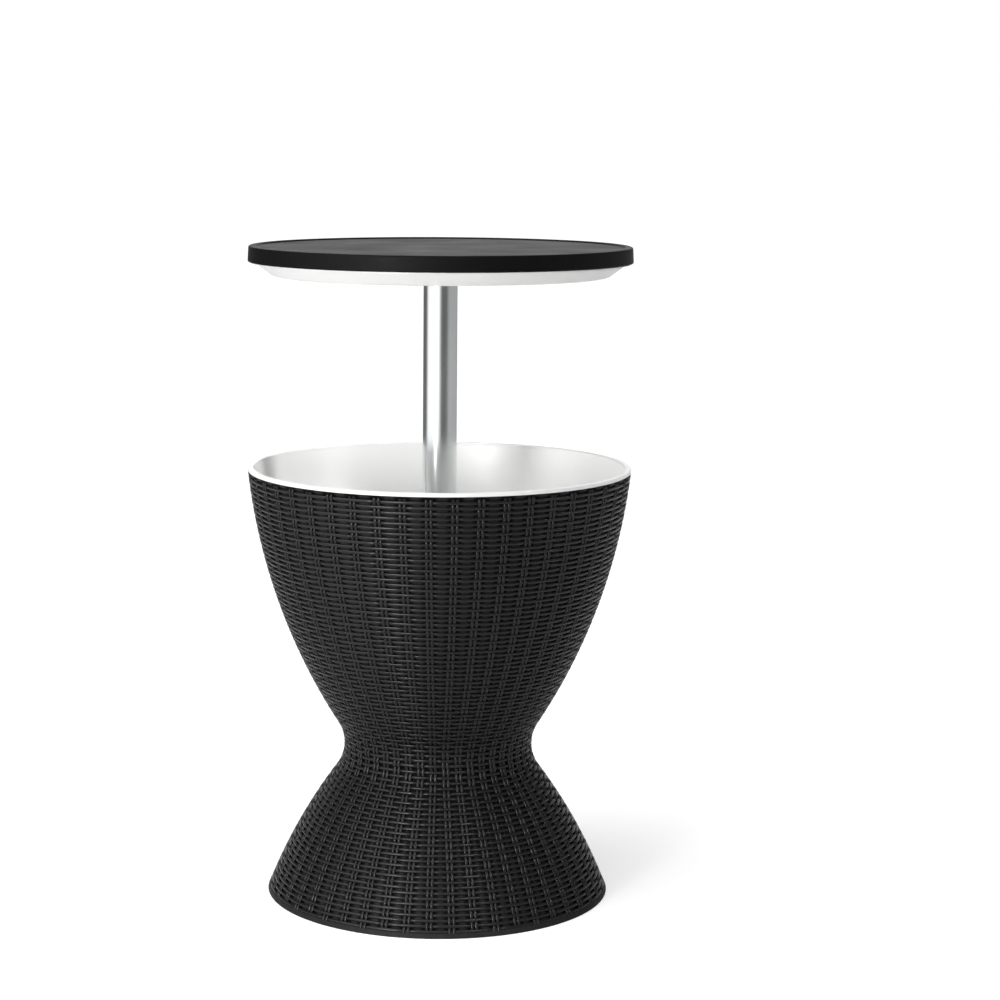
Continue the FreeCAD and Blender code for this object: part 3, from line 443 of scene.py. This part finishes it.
def grown(tree, name, line, values):
    """The plain mesh that a geometry tree makes from a line of points."""
    seed_mesh = bpy.data.meshes.new(name + "_line")
    seed_mesh.from_pydata(line, [(i, i + 1) for i in range(len(line) - 1)], [])
    maker = link(seed_mesh, name + "_maker")
    modifier = maker.modifiers.new("weave", "NODES")
    modifier.node_group = tree
    for item in tree.interface.items_tree:
        if item.item_type == "SOCKET" and item.in_out == "INPUT" and item.name in values:
            modifier[item.identifier] = values[item.name]
    depsgraph = bpy.context.evaluated_depsgraph_get()
    mesh = bpy.data.meshes.new_from_object(maker.evaluated_get(depsgraph))
    if not mesh.polygons:
        raise RuntimeError(f"{name} came out empty")
    mesh.name = name
    bpy.data.objects.remove(maker)
    bpy.data.meshes.remove(seed_mesh)
    return link(mesh, name)


def shell_core(node, name, outline, depth, low, high, material):
    """A copy of a shell whose outer skin lies under the weave from the low height to the high one."""
    mesh = bpy.data.meshes.new(name)
    work = bmesh.new()
    work.from_mesh(frame["nodes"][node].data)
    bmesh.ops.remove_doubles(work, verts=work.verts, dist=MERGE)
    for height in (low, low + STEP_IN, high - STEP_IN, high):
        whole = work.verts[:] + work.edges[:] + work.faces[:]
        bmesh.ops.bisect_plane(work, geom=whole, plane_co=(0.0, 0.0, height), plane_no=(0.0, 0.0, 1.0))
    for vertex in work.verts:
        across = Vector((vertex.co.x, vertex.co.y))
        skin = surface_radius(outline, vertex.co.z)
        between = low + STEP_IN / 2 < vertex.co.z < high - STEP_IN / 2
        if between and abs(across.length - skin) < ON_SURFACE:
            slope = (surface_radius(outline, vertex.co.z + SLOPE_STEP) - skin) / SLOPE_STEP
            normal = Vector((across.x / across.length, across.y / across.length, -slope)).normalized()
            vertex.co -= Vector((normal.x, normal.y, 0.0)) * depth
    bmesh.ops.recalc_face_normals(work, faces=work.faces)
    work.to_mesh(mesh)
    work.free()
    mesh.shade_smooth()
    mesh.set_sharp_from_angle(angle=SHARP_EDGE)
    mesh.materials.append(material)
    return link(mesh, name)


def ride(piece, body, slot, *stands_for):
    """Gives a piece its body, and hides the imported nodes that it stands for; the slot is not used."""
    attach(piece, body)
    if stands_for:
        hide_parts(*stands_for)
    return piece


def finish_nodes(*nodes):
    """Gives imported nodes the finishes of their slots."""
    slots = {part["node"]: part["material_slot"] for part in frame["record"]["subparts"]}
    for node in nodes:
        piece = frame["nodes"][node]
        piece.data.materials.clear()
        piece.data.materials.append(finish(slots[node]))


# --- effects that several finishes share ---
# Edge wear: the cosine between the rounded and the straight normal where an edge is worn and where it is not,
# and the noise that breaks it up.
WEAR_COSINES = (0.80, 0.98)
WEAR_PATCHES = {"start": 0.35, "end": 0.65, "low": 0.15, "high": 1.0}
WEAR_PATCH_SCALE = 90.0
BEVEL_SAMPLES = 4

# Sockets of the Mix node when it mixes colours.
FIRST_COLOUR, SECOND_COLOUR, MIXED_COLOUR = 6, 7, 2


def shared_group(name, build):
    """A shader node group, built once."""
    return bpy.data.node_groups.get(name) or build(Net(bpy.data.node_groups.new(name, "ShaderNodeTree")))


def fine_grain(net):
    """Fine moulded grain: a height for bumps, and a slow mottle."""
    net.open("Vector", "Vector")
    net.open("Grain Scale", "Float", 2500.0)
    net.open("Mottle Scale", "Float", 25.0)
    place = net.take("Vector")
    fine = net.out("ShaderNodeTexNoise", {"Vector": place, "Scale": net.take("Grain Scale"), "Detail": 2.0})
    slow = net.out("ShaderNodeTexNoise", {"Vector": place, "Scale": net.take("Mottle Scale"), "Detail": 3.0})
    return net.close(Height=fine, Mottle=slow)


def edge_wear(net):
    """1 along edges that get rubbed, broken up by noise, and 0 elsewhere."""
    net.open("Vector", "Vector")
    net.open("Radius", "Float", 0.001)
    rounded = net.out("ShaderNodeBevel", {"Radius": net.take("Radius")}, samples=BEVEL_SAMPLES)
    straight = net.out("ShaderNodeNewGeometry", output="Normal")
    along = net.out("ShaderNodeVectorMath", [rounded, straight], output="Value", operation="DOT_PRODUCT")
    inputs = {"Vector": net.take("Vector"), "Scale": WEAR_PATCH_SCALE, "Detail": 3.0}
    patches = net.out("ShaderNodeTexNoise", inputs)
    return net.close(Mask=along.smooth_step(*WEAR_COSINES, 1.0, 0.0) * patches.smooth_step(**WEAR_PATCHES))


def hairlines(net):
    """Fine lines drawn along Z, as a height."""
    net.open("Vector", "Vector")
    net.open("Scale", "Float", 1500.0)
    net.open("Stretch", "Float", 0.02)
    pull = net.out("ShaderNodeCombineXYZ", [1.0, 1.0, net.take("Stretch")])
    drawn = net.out("ShaderNodeVectorMath", [net.take("Vector"), pull], operation="MULTIPLY")
    lines = net.out("ShaderNodeTexNoise", {"Vector": drawn, "Scale": net.take("Scale"), "Detail": 2.0})
    return net.close(Height=lines)


def placed_group(net, build, **values):
    """A shared group in a material; gives its outputs by name. A key's underscores become spaces."""
    node = net.add("ShaderNodeGroup", node_tree=shared_group(build.__name__, build))
    for name, value in values.items():
        net.feed(node.inputs[name.replace("_", " ")], value)
    return {socket.name: Field(net, socket) for socket in node.outputs}


# --- finishes ---
@dataclass(frozen=True)
class Look:
    """How a finish answers to its effects: how much of each it adds to its brightness and to its roughness,
    and the height, in metres, and the strength of its bumps."""

    roughness: float
    brighten: dict
    roughen: dict
    bumps: dict
    gloss: float = 0.5
    metallic: float = 0.0
    grain_scale: float = 2500.0
    mottle_scale: float = 30.0
    rubbed_radius: float = 0.0008


MOULDED_ROUGHEN = {"mottle": 0.16, "grain": 0.08, "rubbed": -0.08}
WALL = Look(
    roughness=0.70, gloss=0.06,
    brighten={"mottle": 0.30},
    roughen={"mottle": 0.16, "grain": 0.08, "shade": -0.25},
    bumps={"grain": (0.0002, 0.35)},
)
LOOKS = {
    "woven_black": Look(
        roughness=0.33, gloss=0.27, grain_scale=2600.0, mottle_scale=22.0,
        # dip: painted shade where a strand goes under a crossing strand
        brighten={"mottle": 0.30, "tone": 0.18, "fibres": 0.30, "crown": 0.12, "dip": -0.45},
        roughen={"mottle": 0.14, "fibres": 0.16, "crown": -0.05, "dip": 0.25},
        bumps={"fibres": (0.00012, 0.32), "grain": (0.0001, 0.20)},
    ),
    "upper_wall": WALL,
    "base_wall": WALL,
    "black_plastic": Look(
        roughness=0.50, gloss=0.07, grain_scale=1800.0, mottle_scale=14.0, rubbed_radius=0.0010,
        # Rubbed edges: wear, and lightened beyond wear as a painted highlight along the top's rim.
        brighten={"mottle": 0.50, "rubbed": 1.2, "streaks": 0.45},
        roughen={"mottle": 0.22, "rubbed": -0.24, "streaks": -0.10},
        bumps={"grain": (0.00025, 0.30), "wiping": (0.00005, 0.12)},
    ),
    "white_plastic": Look(
        roughness=0.34,
        brighten={"mottle": 0.03, "rubbed": 0.02},
        roughen=MOULDED_ROUGHEN,
        bumps={"grain": (0.0002, 0.06)},
    ),
    "grey_plastic": Look(
        roughness=0.42, gloss=0.4,
        brighten={"mottle": 0.24, "rubbed": 0.30},
        roughen=MOULDED_ROUGHEN,
        bumps={"grain": (0.0002, 0.15)},
    ),
    "black_rubber": Look(
        roughness=0.70, gloss=0.3, grain_scale=1500.0,
        brighten={"mottle": 0.24, "rubbed": 0.30},
        roughen=MOULDED_ROUGHEN,
        bumps={"grain": (0.0002, 0.40)},
    ),
    "pole_metal": Look(
        roughness=0.18, metallic=1.0, grain_scale=3000.0, mottle_scale=18.0,
        brighten={"mottle": 0.08, "lines": 0.10},
        roughen={"mottle": 0.08, "lines": 0.14},
        bumps={"lines": (0.00004, 0.25)},
    ),
    "steel": Look(
        roughness=0.30, metallic=1.0, grain_scale=4000.0, mottle_scale=60.0, rubbed_radius=0.0004,
        brighten={"mottle": 0.14, "rubbed": 0.25, "lines": 0.10},
        roughen={"mottle": 0.12, "rubbed": -0.08},
        bumps={"grain": (0.00008, 0.20)},
    ),
}

# Strands: how far fibres are drawn out along them, and between which heights a crown is rubbed and a dip gets
# painted shade and more roughness, where 1 is fully out and -1 fully under.
FIBRE_DRAW = 0.03
FIBRE_SCALE = 1500.0
CROWN_RUBBED = (0.2, 1.0)
DIP_PAINTED_SHADE_AND_DULL = (-1.0, 0.9)

# Shell walls: how far from a pair's middle the painted shade beside the stakes ends, and how bright that
# painted shade and the foot's band are.
PAINTED_SHADE_EDGES = (0.0075, 0.0120)
PAINTED_PIT_SHADE = 0.16
BAND_SHADE = 0.9

# Wiping marks on the table top: how they are turned, and where they are strong enough to be streaks.
WIPING_TURN = (0.0, math.radians(90.0), math.radians(24.0))
WIPING_STREAKS = (0.60, 0.72)


def new_material(name):
    """A new material, its net, its shader and its Object coordinates."""
    material = bpy.data.materials.new(name)
    material.use_nodes = True
    net = Net(material.node_tree)
    place = net.out("ShaderNodeTexCoord", output="Object")
    return material, net, material.node_tree.nodes["Principled BSDF"], place


def shaded(net, base, factor):
    """A base colour whose brightness follows a field."""
    grey = net.out("ShaderNodeCombineColor", [factor, factor, factor])
    inputs = {"Factor": 1.0, SECOND_COLOUR: grey, FIRST_COLOUR: (*base, 1.0)}
    return net.out("ShaderNodeMix", inputs, MIXED_COLOUR, data_type="RGBA", blend_type="MULTIPLY")


def bumped(net, heights):
    """A normal from one or more (height, distance, strength), each laid on the one before."""
    normal = None
    for height, distance, strength in heights:
        inputs = {"Height": height, "Distance": distance, "Strength": strength}
        if normal:
            inputs["Normal"] = normal
        normal = net.out("ShaderNodeBump", inputs)
    return normal


def blended(level, effects, shares):
    """A level, with the named share of each effect added."""
    for name, share in shares.items():
        level = effects[name] * share + level
    return level


def coated(name, look, base, own_effects):
    """A material of a base colour that answers to its effects as its look says."""
    material, net, surface, place = new_material(name)
    scales = {"Grain_Scale": look.grain_scale, "Mottle_Scale": look.mottle_scale}
    skin = placed_group(net, fine_grain, Vector=place, **scales)
    effects = {"mottle": skin["Mottle"] - 0.5, "grain": skin["Height"] - 0.5, **own_effects(net, place, look)}
    brightness = blended(1.0, effects, look.brighten)
    # A shell wall's shade is painted shade beside the stakes, and the foot band's tone.
    if "shade" in effects:
        brightness = brightness * effects["shade"]
    net.feed(surface.inputs["Base Color"], shaded(net, base, brightness))
    net.feed(surface.inputs["Roughness"], blended(look.roughness, effects, look.roughen))
    heights = [(effects[name], *bump) for name, bump in look.bumps.items()]
    net.feed(surface.inputs["Normal"], bumped(net, heights))
    surface.inputs["Specular IOR Level"].default_value = look.gloss
    surface.inputs["Metallic"].default_value = look.metallic
    return material


# The effects that each kind of finish adds to the mottle and the grain, by name.
def moulded(net, place, look):
    """Moulded plastic or rubber has rubbed edges."""
    return {"rubbed": placed_group(net, edge_wear, Vector=place, Radius=look.rubbed_radius)["Mask"]}


def table_top(net, place, look):
    """The top also has faint wiping marks."""
    turned = net.out("ShaderNodeMapping", {"Vector": place, "Rotation": WIPING_TURN})
    wiping = placed_group(net, hairlines, Vector=turned, Scale=420.0, Stretch=0.015)["Height"]
    streaks = wiping.smooth_step(*WIPING_STREAKS, 0.0, 1.0)
    return {"wiping": wiping, "streaks": streaks, **moulded(net, place, look)}


def drawn_tube(net, place, look):
    """A drawn tube has fine lines along it."""
    return {"lines": placed_group(net, hairlines, Vector=place, Scale=1800.0, Stretch=0.012)["Height"] - 0.5}


def steel(net, place, look):
    """Steel has short brushed lines and brighter rubbed edges."""
    lines = placed_group(net, hairlines, Vector=place, Scale=2500.0, Stretch=0.3)["Height"] - 0.5
    return {"lines": lines, **moulded(net, place, look)}


def strands(net, place, look):
    """Strands have fibres along them, a tone each, crowns that are rubbed smoother, and painted shade in
    their dips, which are also rougher.
    """
    section = net.out("ShaderNodeAttribute", output="Vector", attribute_name="section")
    crown = net.out("ShaderNodeAttribute", output="Fac", attribute_name="crown")
    strand = net.out("ShaderNodeAttribute", output="Fac", attribute_name="strand")
    tone = net.out("ShaderNodeTexWhiteNoise", {"W": strand}, noise_dimensions="1D")
    inputs = [place, (FIBRE_DRAW, FIBRE_DRAW, FIBRE_DRAW), section]
    along = net.out("ShaderNodeVectorMath", inputs, operation="MULTIPLY_ADD")
    fibres = net.out("ShaderNodeTexNoise", {"Vector": along, "Scale": FIBRE_SCALE, "Detail": 2.0})
    return {
        "tone": tone - 0.5,
        "fibres": fibres - 0.5,
        "crown": crown.smooth_step(*CROWN_RUBBED, 0.0, 1.0),
        # Painted shade where a strand goes under, with more roughness there.
        "dip": crown.smooth_step(*DIP_PAINTED_SHADE_AND_DULL, 1.0, 0.0),
    }


def shell_wall(net, place, look, turn, pairs, band):
    """A shell's wall gets painted shade beside the stakes, above the foot's band."""
    parts = net.add("ShaderNodeSeparateXYZ", [place])
    across, ahead, up = (Field(net, parts.outputs[axis]) for axis in "XYZ")
    radius = (across * across + ahead * ahead).math("SQRT")
    crossings = (ahead.math("ARCTAN2", across) - turn) / math.tau * pairs
    from_pair = ((crossings + 0.5).remainder(1.0) - 0.5).math("ABSOLUTE") * radius * (math.tau / pairs)
    # Painted shade: the wall is darker beside each pair of stakes.
    painted_pit_shade = from_pair.smooth_step(*PAINTED_SHADE_EDGES, PAINTED_PIT_SHADE, 1.0)
    smooth = up.smooth_step(band, band + STEP_IN, BAND_SHADE, 0.0)
    return {"shade": painted_pit_shade.math("MAXIMUM", smooth)}


def finish(slot):
    """The finish of a material slot, made once."""
    scene = bpy.context.scene
    colours, weave, band = scene.cooler_colours, scene.cooler_weave, scene.cooler_outline.foot_band
    wall = partial(shell_wall, pairs=weave.stake_pairs, band=band)
    makers = {
        "woven_black": (colours.woven, strands),
        "upper_wall": (colours.ground, partial(wall, turn=weave.upper_turn)),
        "base_wall": (colours.ground, partial(wall, turn=weave.base_turn)),
        "black_plastic": (colours.top, table_top),
        "white_plastic": (colours.white, moulded),
        "grey_plastic": (colours.grey, moulded),
        "black_rubber": (colours.rubber, moulded),
        "pole_metal": (colours.metal, drawn_tube),
        "steel": (colours.steel, steel),
    }
    name = slot + "_finish"
    return bpy.data.materials.get(name) or coated(name, LOOKS[slot], *makers[slot])


# --- stage ---
FOCAL_MM = 89.977
SENSOR_MM = 36.0
CAMERA_REACH = 100.0
CAMERA_AWAY = 3.19812
CAMERA_UP = 0.99857
CAMERA_PITCH = 0.12655
CAMERA_ROLL = 0.0057
CAMERA_SHIFT = (0.0603, -0.0600)
LAMP_AIM = (0.0, 0.0, 0.45)
LAMPS = {
    "key": {"place": (-2.7, -1.5, 1.8), "size": (1.0, 1.0), "watts": 12.0},
    "front": {"place": (-1.5, -2.7, 0.8), "size": (0.6, 0.6), "watts": 50.0},
    "overhead": {"place": (-0.3, 0.1, 3.2), "size": (3.0, 3.0), "watts": 60.0},
}
SPOTS = {
    "base_spot": {
        "place": (0.85, -1.6, 1.45), "aim": (0.03, -0.18, 0.07), "cone": 14.0, "size": 0.14, "watts": 48.0,
    },
    "tub_spot": {
        "place": (1.64, -0.44, 1.18), "aim": (-0.16, 0.11, 0.545), "cone": 10.0, "size": 0.20, "watts": 200.0,
    },
}

# The room's panels of light: from which bearing to which, in degrees right of the viewer, how bright, and how
# high, as the sine of the elevation where they end.
ROOM_GLOW = 0.06
ROOM_PANELS = ((-95.0, -2.0, 1.24, 2.0), (52.0, 150.0, 0.36, 0.6), (164.0, 196.0, 1.32, 1.0))
PANEL_EDGE = 30.0
PANEL_TOP_EDGE = 0.25
FULL_TURN = 360.0

# The floor near the object and far from it: how pale it is, how much it glows to the eye, where it changes.
FLOOR_SHADE = (0.80, 0.20)
FLOOR_GLOW = (0.45, 1.0)
FLOOR_TURNS_DARK = (1.6, 3.0)
FLOOR_HALF = 60.0
FLOOR_ROUGHNESS = 0.88
FLOOR_MOTTLE = 0.05
WHITE = (1.0, 1.0, 1.0)


def add_camera():
    """A camera in front of the table and a little above it."""
    data = bpy.data.cameras.new("camera")
    data.lens = FOCAL_MM
    data.sensor_width = SENSOR_MM
    data.shift_x, data.shift_y = CAMERA_SHIFT
    data.clip_end = CAMERA_REACH
    camera = link(data, "camera")
    turn = Matrix.Rotation(math.pi / 2 - CAMERA_PITCH, 4, "X") @ Matrix.Rotation(CAMERA_ROLL, 4, "Z")
    camera.matrix_world = Matrix.Translation((0.0, -CAMERA_AWAY, CAMERA_UP)) @ turn
    bpy.context.scene.camera = camera


def hang(data, place, aim):
    """Puts a lamp in its place, pointed at its aim."""
    lamp = link(data, data.name)
    away = Vector(place) - Vector(aim)
    lamp.matrix_world = Matrix.Translation(place) @ away.to_track_quat("Z", "Y").to_matrix().to_4x4()


def add_softbox(name, place, size, watts):
    """A wide lamp pointed at the object's middle."""
    data = bpy.data.lights.new(name, "AREA")
    data.shape = "RECTANGLE"
    data.size, data.size_y = size
    data.energy = watts
    hang(data, place, LAMP_AIM)


def add_spot(name, place, aim, cone, size, watts):
    """A narrow lamp that picks out one part of the object."""
    data = bpy.data.lights.new(name, "SPOT")
    data.energy = watts
    data.shadow_soft_size = size
    data.spot_size = math.radians(cone)
    data.spot_blend = 1.0
    hang(data, place, aim)


def light_path(net):
    """1 for the eye's own rays, and 1 for those and the rays of a gloss or a clear body."""
    rays = net.add("ShaderNodeLightPath")
    eye = Field(net, rays.outputs["Is Camera Ray"])
    seen = eye.math("MAXIMUM", Field(net, rays.outputs["Is Glossy Ray"]))
    return eye, seen.math("MAXIMUM", Field(net, rays.outputs["Is Transmission Ray"]))


def room_light(net, across, ahead, up):
    """How bright the room is towards a bearing: wide panels of light in a dim room."""
    bearing = across.math("ARCTAN2", ahead) * math.degrees(1.0)
    room = ROOM_GLOW
    for start, end, glow, top in ROOM_PANELS:
        middle, half = (start + end) / 2, (end - start) / 2
        off = ((bearing - middle + FULL_TURN / 2).remainder(FULL_TURN) - FULL_TURN / 2).math("ABSOLUTE")
        panel = off.smooth_step(half - PANEL_EDGE / 2, half + PANEL_EDGE / 2, glow - ROOM_GLOW, 0.0)
        room = panel * up.smooth_step(top - PANEL_TOP_EDGE, top, 1.0, 0.0) + room
    return room


def split_place(net, vector):
    """How far right, how far towards the viewer and how far up a vector points."""
    parts = net.add("ShaderNodeSeparateXYZ", [vector])
    right, away, up = (Field(net, parts.outputs[axis]) for axis in "XYZ")
    return right, away * -1.0, up


def add_world():
    """A backdrop that the eye sees white, and the room's panels of light."""
    world = bpy.data.worlds.new("studio")
    world.use_nodes = True
    net = Net(world.node_tree)
    background = world.node_tree.nodes["Background"]
    background.inputs["Color"].default_value = (*WHITE, 1.0)
    room = room_light(net, *split_place(net, net.out("ShaderNodeTexCoord", output="Generated")))
    eye, _ = light_path(net)
    net.feed(background.inputs["Strength"], room + eye * (room * -1.0 + 1.0))
    bpy.context.scene.world = world


def add_floor():
    """A floor that is pale around the object, dark further out where it glows to gloss rays with a painted
    reflection of the room's panels, and white to the eye apart from the object's shadow."""
    mesh = bpy.data.meshes.new("floor")
    half = FLOOR_HALF
    corners = [(-half, -half, 0), (half, -half, 0), (half, half, 0), (-half, half, 0)]
    mesh.from_pydata(corners, [], [(0, 1, 2, 3)])
    material, net, surface, place = new_material("studio_floor")
    mottle = placed_group(net, fine_grain, Vector=place, Grain_Scale=900.0, Mottle_Scale=3.0)["Mottle"]
    reach = net.out("ShaderNodeVectorMath", [place], output="Value", operation="LENGTH")
    eye, seen = light_path(net)
    # Painted reflection: the far floor glows with the room's panels, for gloss rays only.
    painted_room_reflection = room_light(net, *split_place(net, place)) * reach.smooth_step(*FLOOR_TURNS_DARK, 0.0, 1.0)
    glow = (eye * reach.smooth_step(*FLOOR_TURNS_DARK, *FLOOR_GLOW)).math("MAXIMUM", (seen - eye) * painted_room_reflection)
    shade = reach.smooth_step(*FLOOR_TURNS_DARK, *FLOOR_SHADE)
    net.feed(surface.inputs["Base Color"], shaded(net, WHITE, shade))
    net.feed(surface.inputs["Roughness"], mottle * FLOOR_MOTTLE + FLOOR_ROUGHNESS)
    net.feed(surface.inputs["Emission Strength"], glow)
    surface.inputs["Specular IOR Level"].default_value = 0.0
    surface.inputs["Emission Color"].default_value = (*WHITE, 1.0)
    mesh.materials.append(material)
    link(mesh, "floor")


# --- operators, one for each piece or group of like pieces ---
@dataclass
class Relief:
    """The weave of one shell: where its rows and stakes start, how many there are and how far apart."""

    seed: float
    line: list
    turn: float
    first: float
    pitch: float
    rows: int
    strand: float
    parity: int
    lead: float
    tail: float


def upper_relief(outline, weave):
    """The upper shell's weave, from the rim's band to the parting line."""
    line = meridian(outline, RIM_HEIGHT, PARTING_HEIGHT)
    end = weave.upper_first + weave.upper_pitch * (weave.upper_rows - 1)
    return Relief(
        seed=5.0, line=line, turn=weave.upper_turn, first=weave.upper_first, pitch=weave.upper_pitch,
        rows=weave.upper_rows, strand=weave.upper_strand, parity=1,
        lead=weave.upper_first - outline.rim_band, tail=walked(line) - end - STEP_IN,
    )


def base_relief(outline, weave):
    """The base's weave, from the parting line to the foot's band."""
    line = meridian(outline, PARTING_HEIGHT, outline.foot_band)
    end = weave.base_first + weave.base_pitch * (weave.base_rows - 1)
    return Relief(
        seed=4.0, line=line, turn=weave.base_turn, first=weave.base_first, pitch=weave.base_pitch,
        rows=weave.base_rows, strand=weave.base_strand, parity=0,
        lead=weave.base_first - STEP_IN, tail=walked(line) - end,
    )


def weave_values(relief, weave, thickness, rise, **own):
    """The values that both trees take, then those of one piece."""
    shared = {
        "Stake Pairs": weave.stake_pairs,
        "First Stake": relief.turn,
        "Row Pitch": relief.pitch,
        "Thickness": thickness,
        "Rise": rise,
        "Depth": rise + thickness / 2 - weave.proud,
        "Unevenness": weave.unevenness,
        "Seed": relief.seed,
        "Finish": finish("woven_black"),
    }
    return {**shared, **own}


def add_rows(name, relief, weave, start, count):
    """A piece with so many of a shell's rows, from a start row on."""
    own = {
        "First Row": relief.first + relief.pitch * start,
        "Parity": start + relief.parity,
        "Rows": count,
        "Samples": ROW_SAMPLES,
        "Width": relief.strand,
        "Dip Start": weave.row_dip_start,
        "Dip End": weave.row_dip_end,
    }
    tree = bpy.data.node_groups.get("woven_rows") or rows_tree()
    values = weave_values(relief, weave, weave.strand_thickness, weave.row_rise, **own)
    piece = grown(tree, name, relief.line, values)
    return ride(piece, "cooler_body", "woven_black")


def add_stakes(name, relief, weave, start, count):
    """A piece with so many of a shell's pairs of stakes, from a start pair on."""
    own = {
        "First Row": relief.first,
        "Parity": relief.parity,
        "Rows": relief.rows,
        "Samples": STAKE_SAMPLES,
        "Width": weave.stake_width,
        "Dip Start": weave.stake_dip_start,
        "Dip End": weave.stake_dip_end,
        "Pair Spacing": weave.pair_gap + weave.stake_width,
        "First Pair": start,
        "Pairs Made": count,
        "Lead": relief.lead,
        "Tail": relief.tail,
    }
    tree = bpy.data.node_groups.get("woven_stakes") or stakes_tree()
    values = weave_values(relief, weave, weave.stake_thickness, weave.stake_rise, **own)
    piece = grown(tree, name, relief.line, values)
    return ride(piece, "cooler_body", "woven_black")


class COOLER_OT_upper_shell(bpy.types.Operator):
    """Makes the upper shell's wall and its woven relief"""

    bl_idname = "cooler.upper_shell"
    bl_label = "Upper shell"

    def execute(self, context):
        outline, weave = context.scene.cooler_outline, context.scene.cooler_weave
        heights = (PARTING_HEIGHT - STEP_IN, RIM_HEIGHT - outline.rim_band)
        depth = weave.upper_ground
        core = shell_core("upper_shell", "upper_shell_wall", outline, depth, *heights, finish("upper_wall"))
        ride(core, "cooler_body", "woven_black", "upper_shell")
        relief = upper_relief(outline, weave)
        high = weave.upper_rows // 2
        add_rows("upper_rows_high", relief, weave, 0, high)
        add_rows("upper_rows_low", relief, weave, high, weave.upper_rows - high)
        right = weave.stake_pairs // 2
        add_stakes("upper_stakes_right", relief, weave, 0, right)
        add_stakes("upper_stakes_left", relief, weave, right, weave.stake_pairs - right)
        return {"FINISHED"}


class COOLER_OT_base_shell(bpy.types.Operator):
    """Makes the base's wall and its woven relief"""

    bl_idname = "cooler.base_shell"
    bl_label = "Base"

    def execute(self, context):
        outline, weave = context.scene.cooler_outline, context.scene.cooler_weave
        heights = (outline.foot_band, PARTING_HEIGHT + STEP_IN)
        depth = weave.base_ground
        core = shell_core("base_shell", "base_shell_wall", outline, depth, *heights, finish("base_wall"))
        ride(core, "cooler_body", "woven_black", "base_shell")
        relief = base_relief(outline, weave)
        add_rows("base_rows", relief, weave, 0, weave.base_rows)
        add_stakes("base_stakes", relief, weave, 0, weave.stake_pairs)
        return {"FINISHED"}


class COOLER_OT_table_top(bpy.types.Operator):
    """Finishes the table top, the dish under it and their screws"""

    bl_idname = "cooler.table_top"
    bl_label = "Table top"

    def execute(self, context):
        finish_nodes("lid_top", "lid_under", "lid_screws", "pole_flange", "pole_flange_screws")
        return {"FINISHED"}


class COOLER_OT_tub(bpy.types.Operator):
    """Finishes the tub, the sleeve around the tube and its cap"""

    bl_idname = "cooler.tub"
    bl_label = "Tub"

    def execute(self, context):
        finish_nodes("tub", "tub_column", "column_cap", "wiper_seal")
        return {"FINISHED"}


class COOLER_OT_pole(bpy.types.Operator):
    """Finishes the pole, the tube that it slides in and their guides"""

    bl_idname = "cooler.pole"
    bl_label = "Pole"

    def execute(self, context):
        finish_nodes("pole_tube", "outer_tube", "guide_bush", "glide_ring", "pole_foot_plug", "tube_flange")
        finish_nodes("lock_pin", "pole_cross_bolt", "pole_cross_nut", "tube_flange_screws", "waist_screws")
        return {"FINISHED"}


class COOLER_OT_drain(bpy.types.Operator):
    """Finishes the drain and its stopper"""

    bl_idname = "cooler.drain"
    bl_label = "Drain"

    def execute(self, context):
        finish_nodes("drain_fitting", "drain_gasket", "drain_locknut", "drain_stopper", "stopper_seal")
        return {"FINISHED"}


class COOLER_OT_stage(bpy.types.Operator):
    """Makes the floor, the lamps and the camera"""

    bl_idname = "cooler.stage"
    bl_label = "Stage"

    def execute(self, context):
        add_world()
        add_floor()
        for name, lamp in LAMPS.items():
            add_softbox(name, **lamp)
        for name, lamp in SPOTS.items():
            add_spot(name, **lamp)
        add_camera()
        context.scene.view_settings.view_transform = "Standard"
        return {"FINISHED"}


class COOLER_PT_panel(bpy.types.Panel):
    """Lists what makes the cooler table"""

    bl_idname = "COOLER_PT_panel"
    bl_label = "Cooler table"
    bl_space_type = "VIEW_3D"
    bl_region_type = "UI"
    bl_category = "Cooler table"

    def draw(self, context):
        for operator in OPERATORS:
            self.layout.operator(operator.bl_idname)


GROUPS = {"cooler_outline": BodyOutline, "cooler_weave": WeaveSizes, "cooler_colours": FinishColours}
OPERATORS = (
    COOLER_OT_upper_shell,
    COOLER_OT_base_shell,
    COOLER_OT_table_top,
    COOLER_OT_tub,
    COOLER_OT_pole,
    COOLER_OT_drain,
    COOLER_OT_stage,
)


def register():
    for cls in (*GROUPS.values(), *OPERATORS, COOLER_PT_panel):
        bpy.utils.register_class(cls)
    for name, group in GROUPS.items():
        setattr(bpy.types.Scene, name, PointerProperty(type=group))


def unregister():
    for name in GROUPS:
        delattr(bpy.types.Scene, name)
    for cls in reversed((*GROUPS.values(), *OPERATORS, COOLER_PT_panel)):
        bpy.utils.unregister_class(cls)


def main():
    register()
    bpy.ops.cooler.upper_shell()
    bpy.ops.cooler.base_shell()
    bpy.ops.cooler.table_top()
    bpy.ops.cooler.tub()
    bpy.ops.cooler.pole()
    bpy.ops.cooler.drain()
    bpy.ops.cooler.stage()


if __name__ == "__main__":
    main()
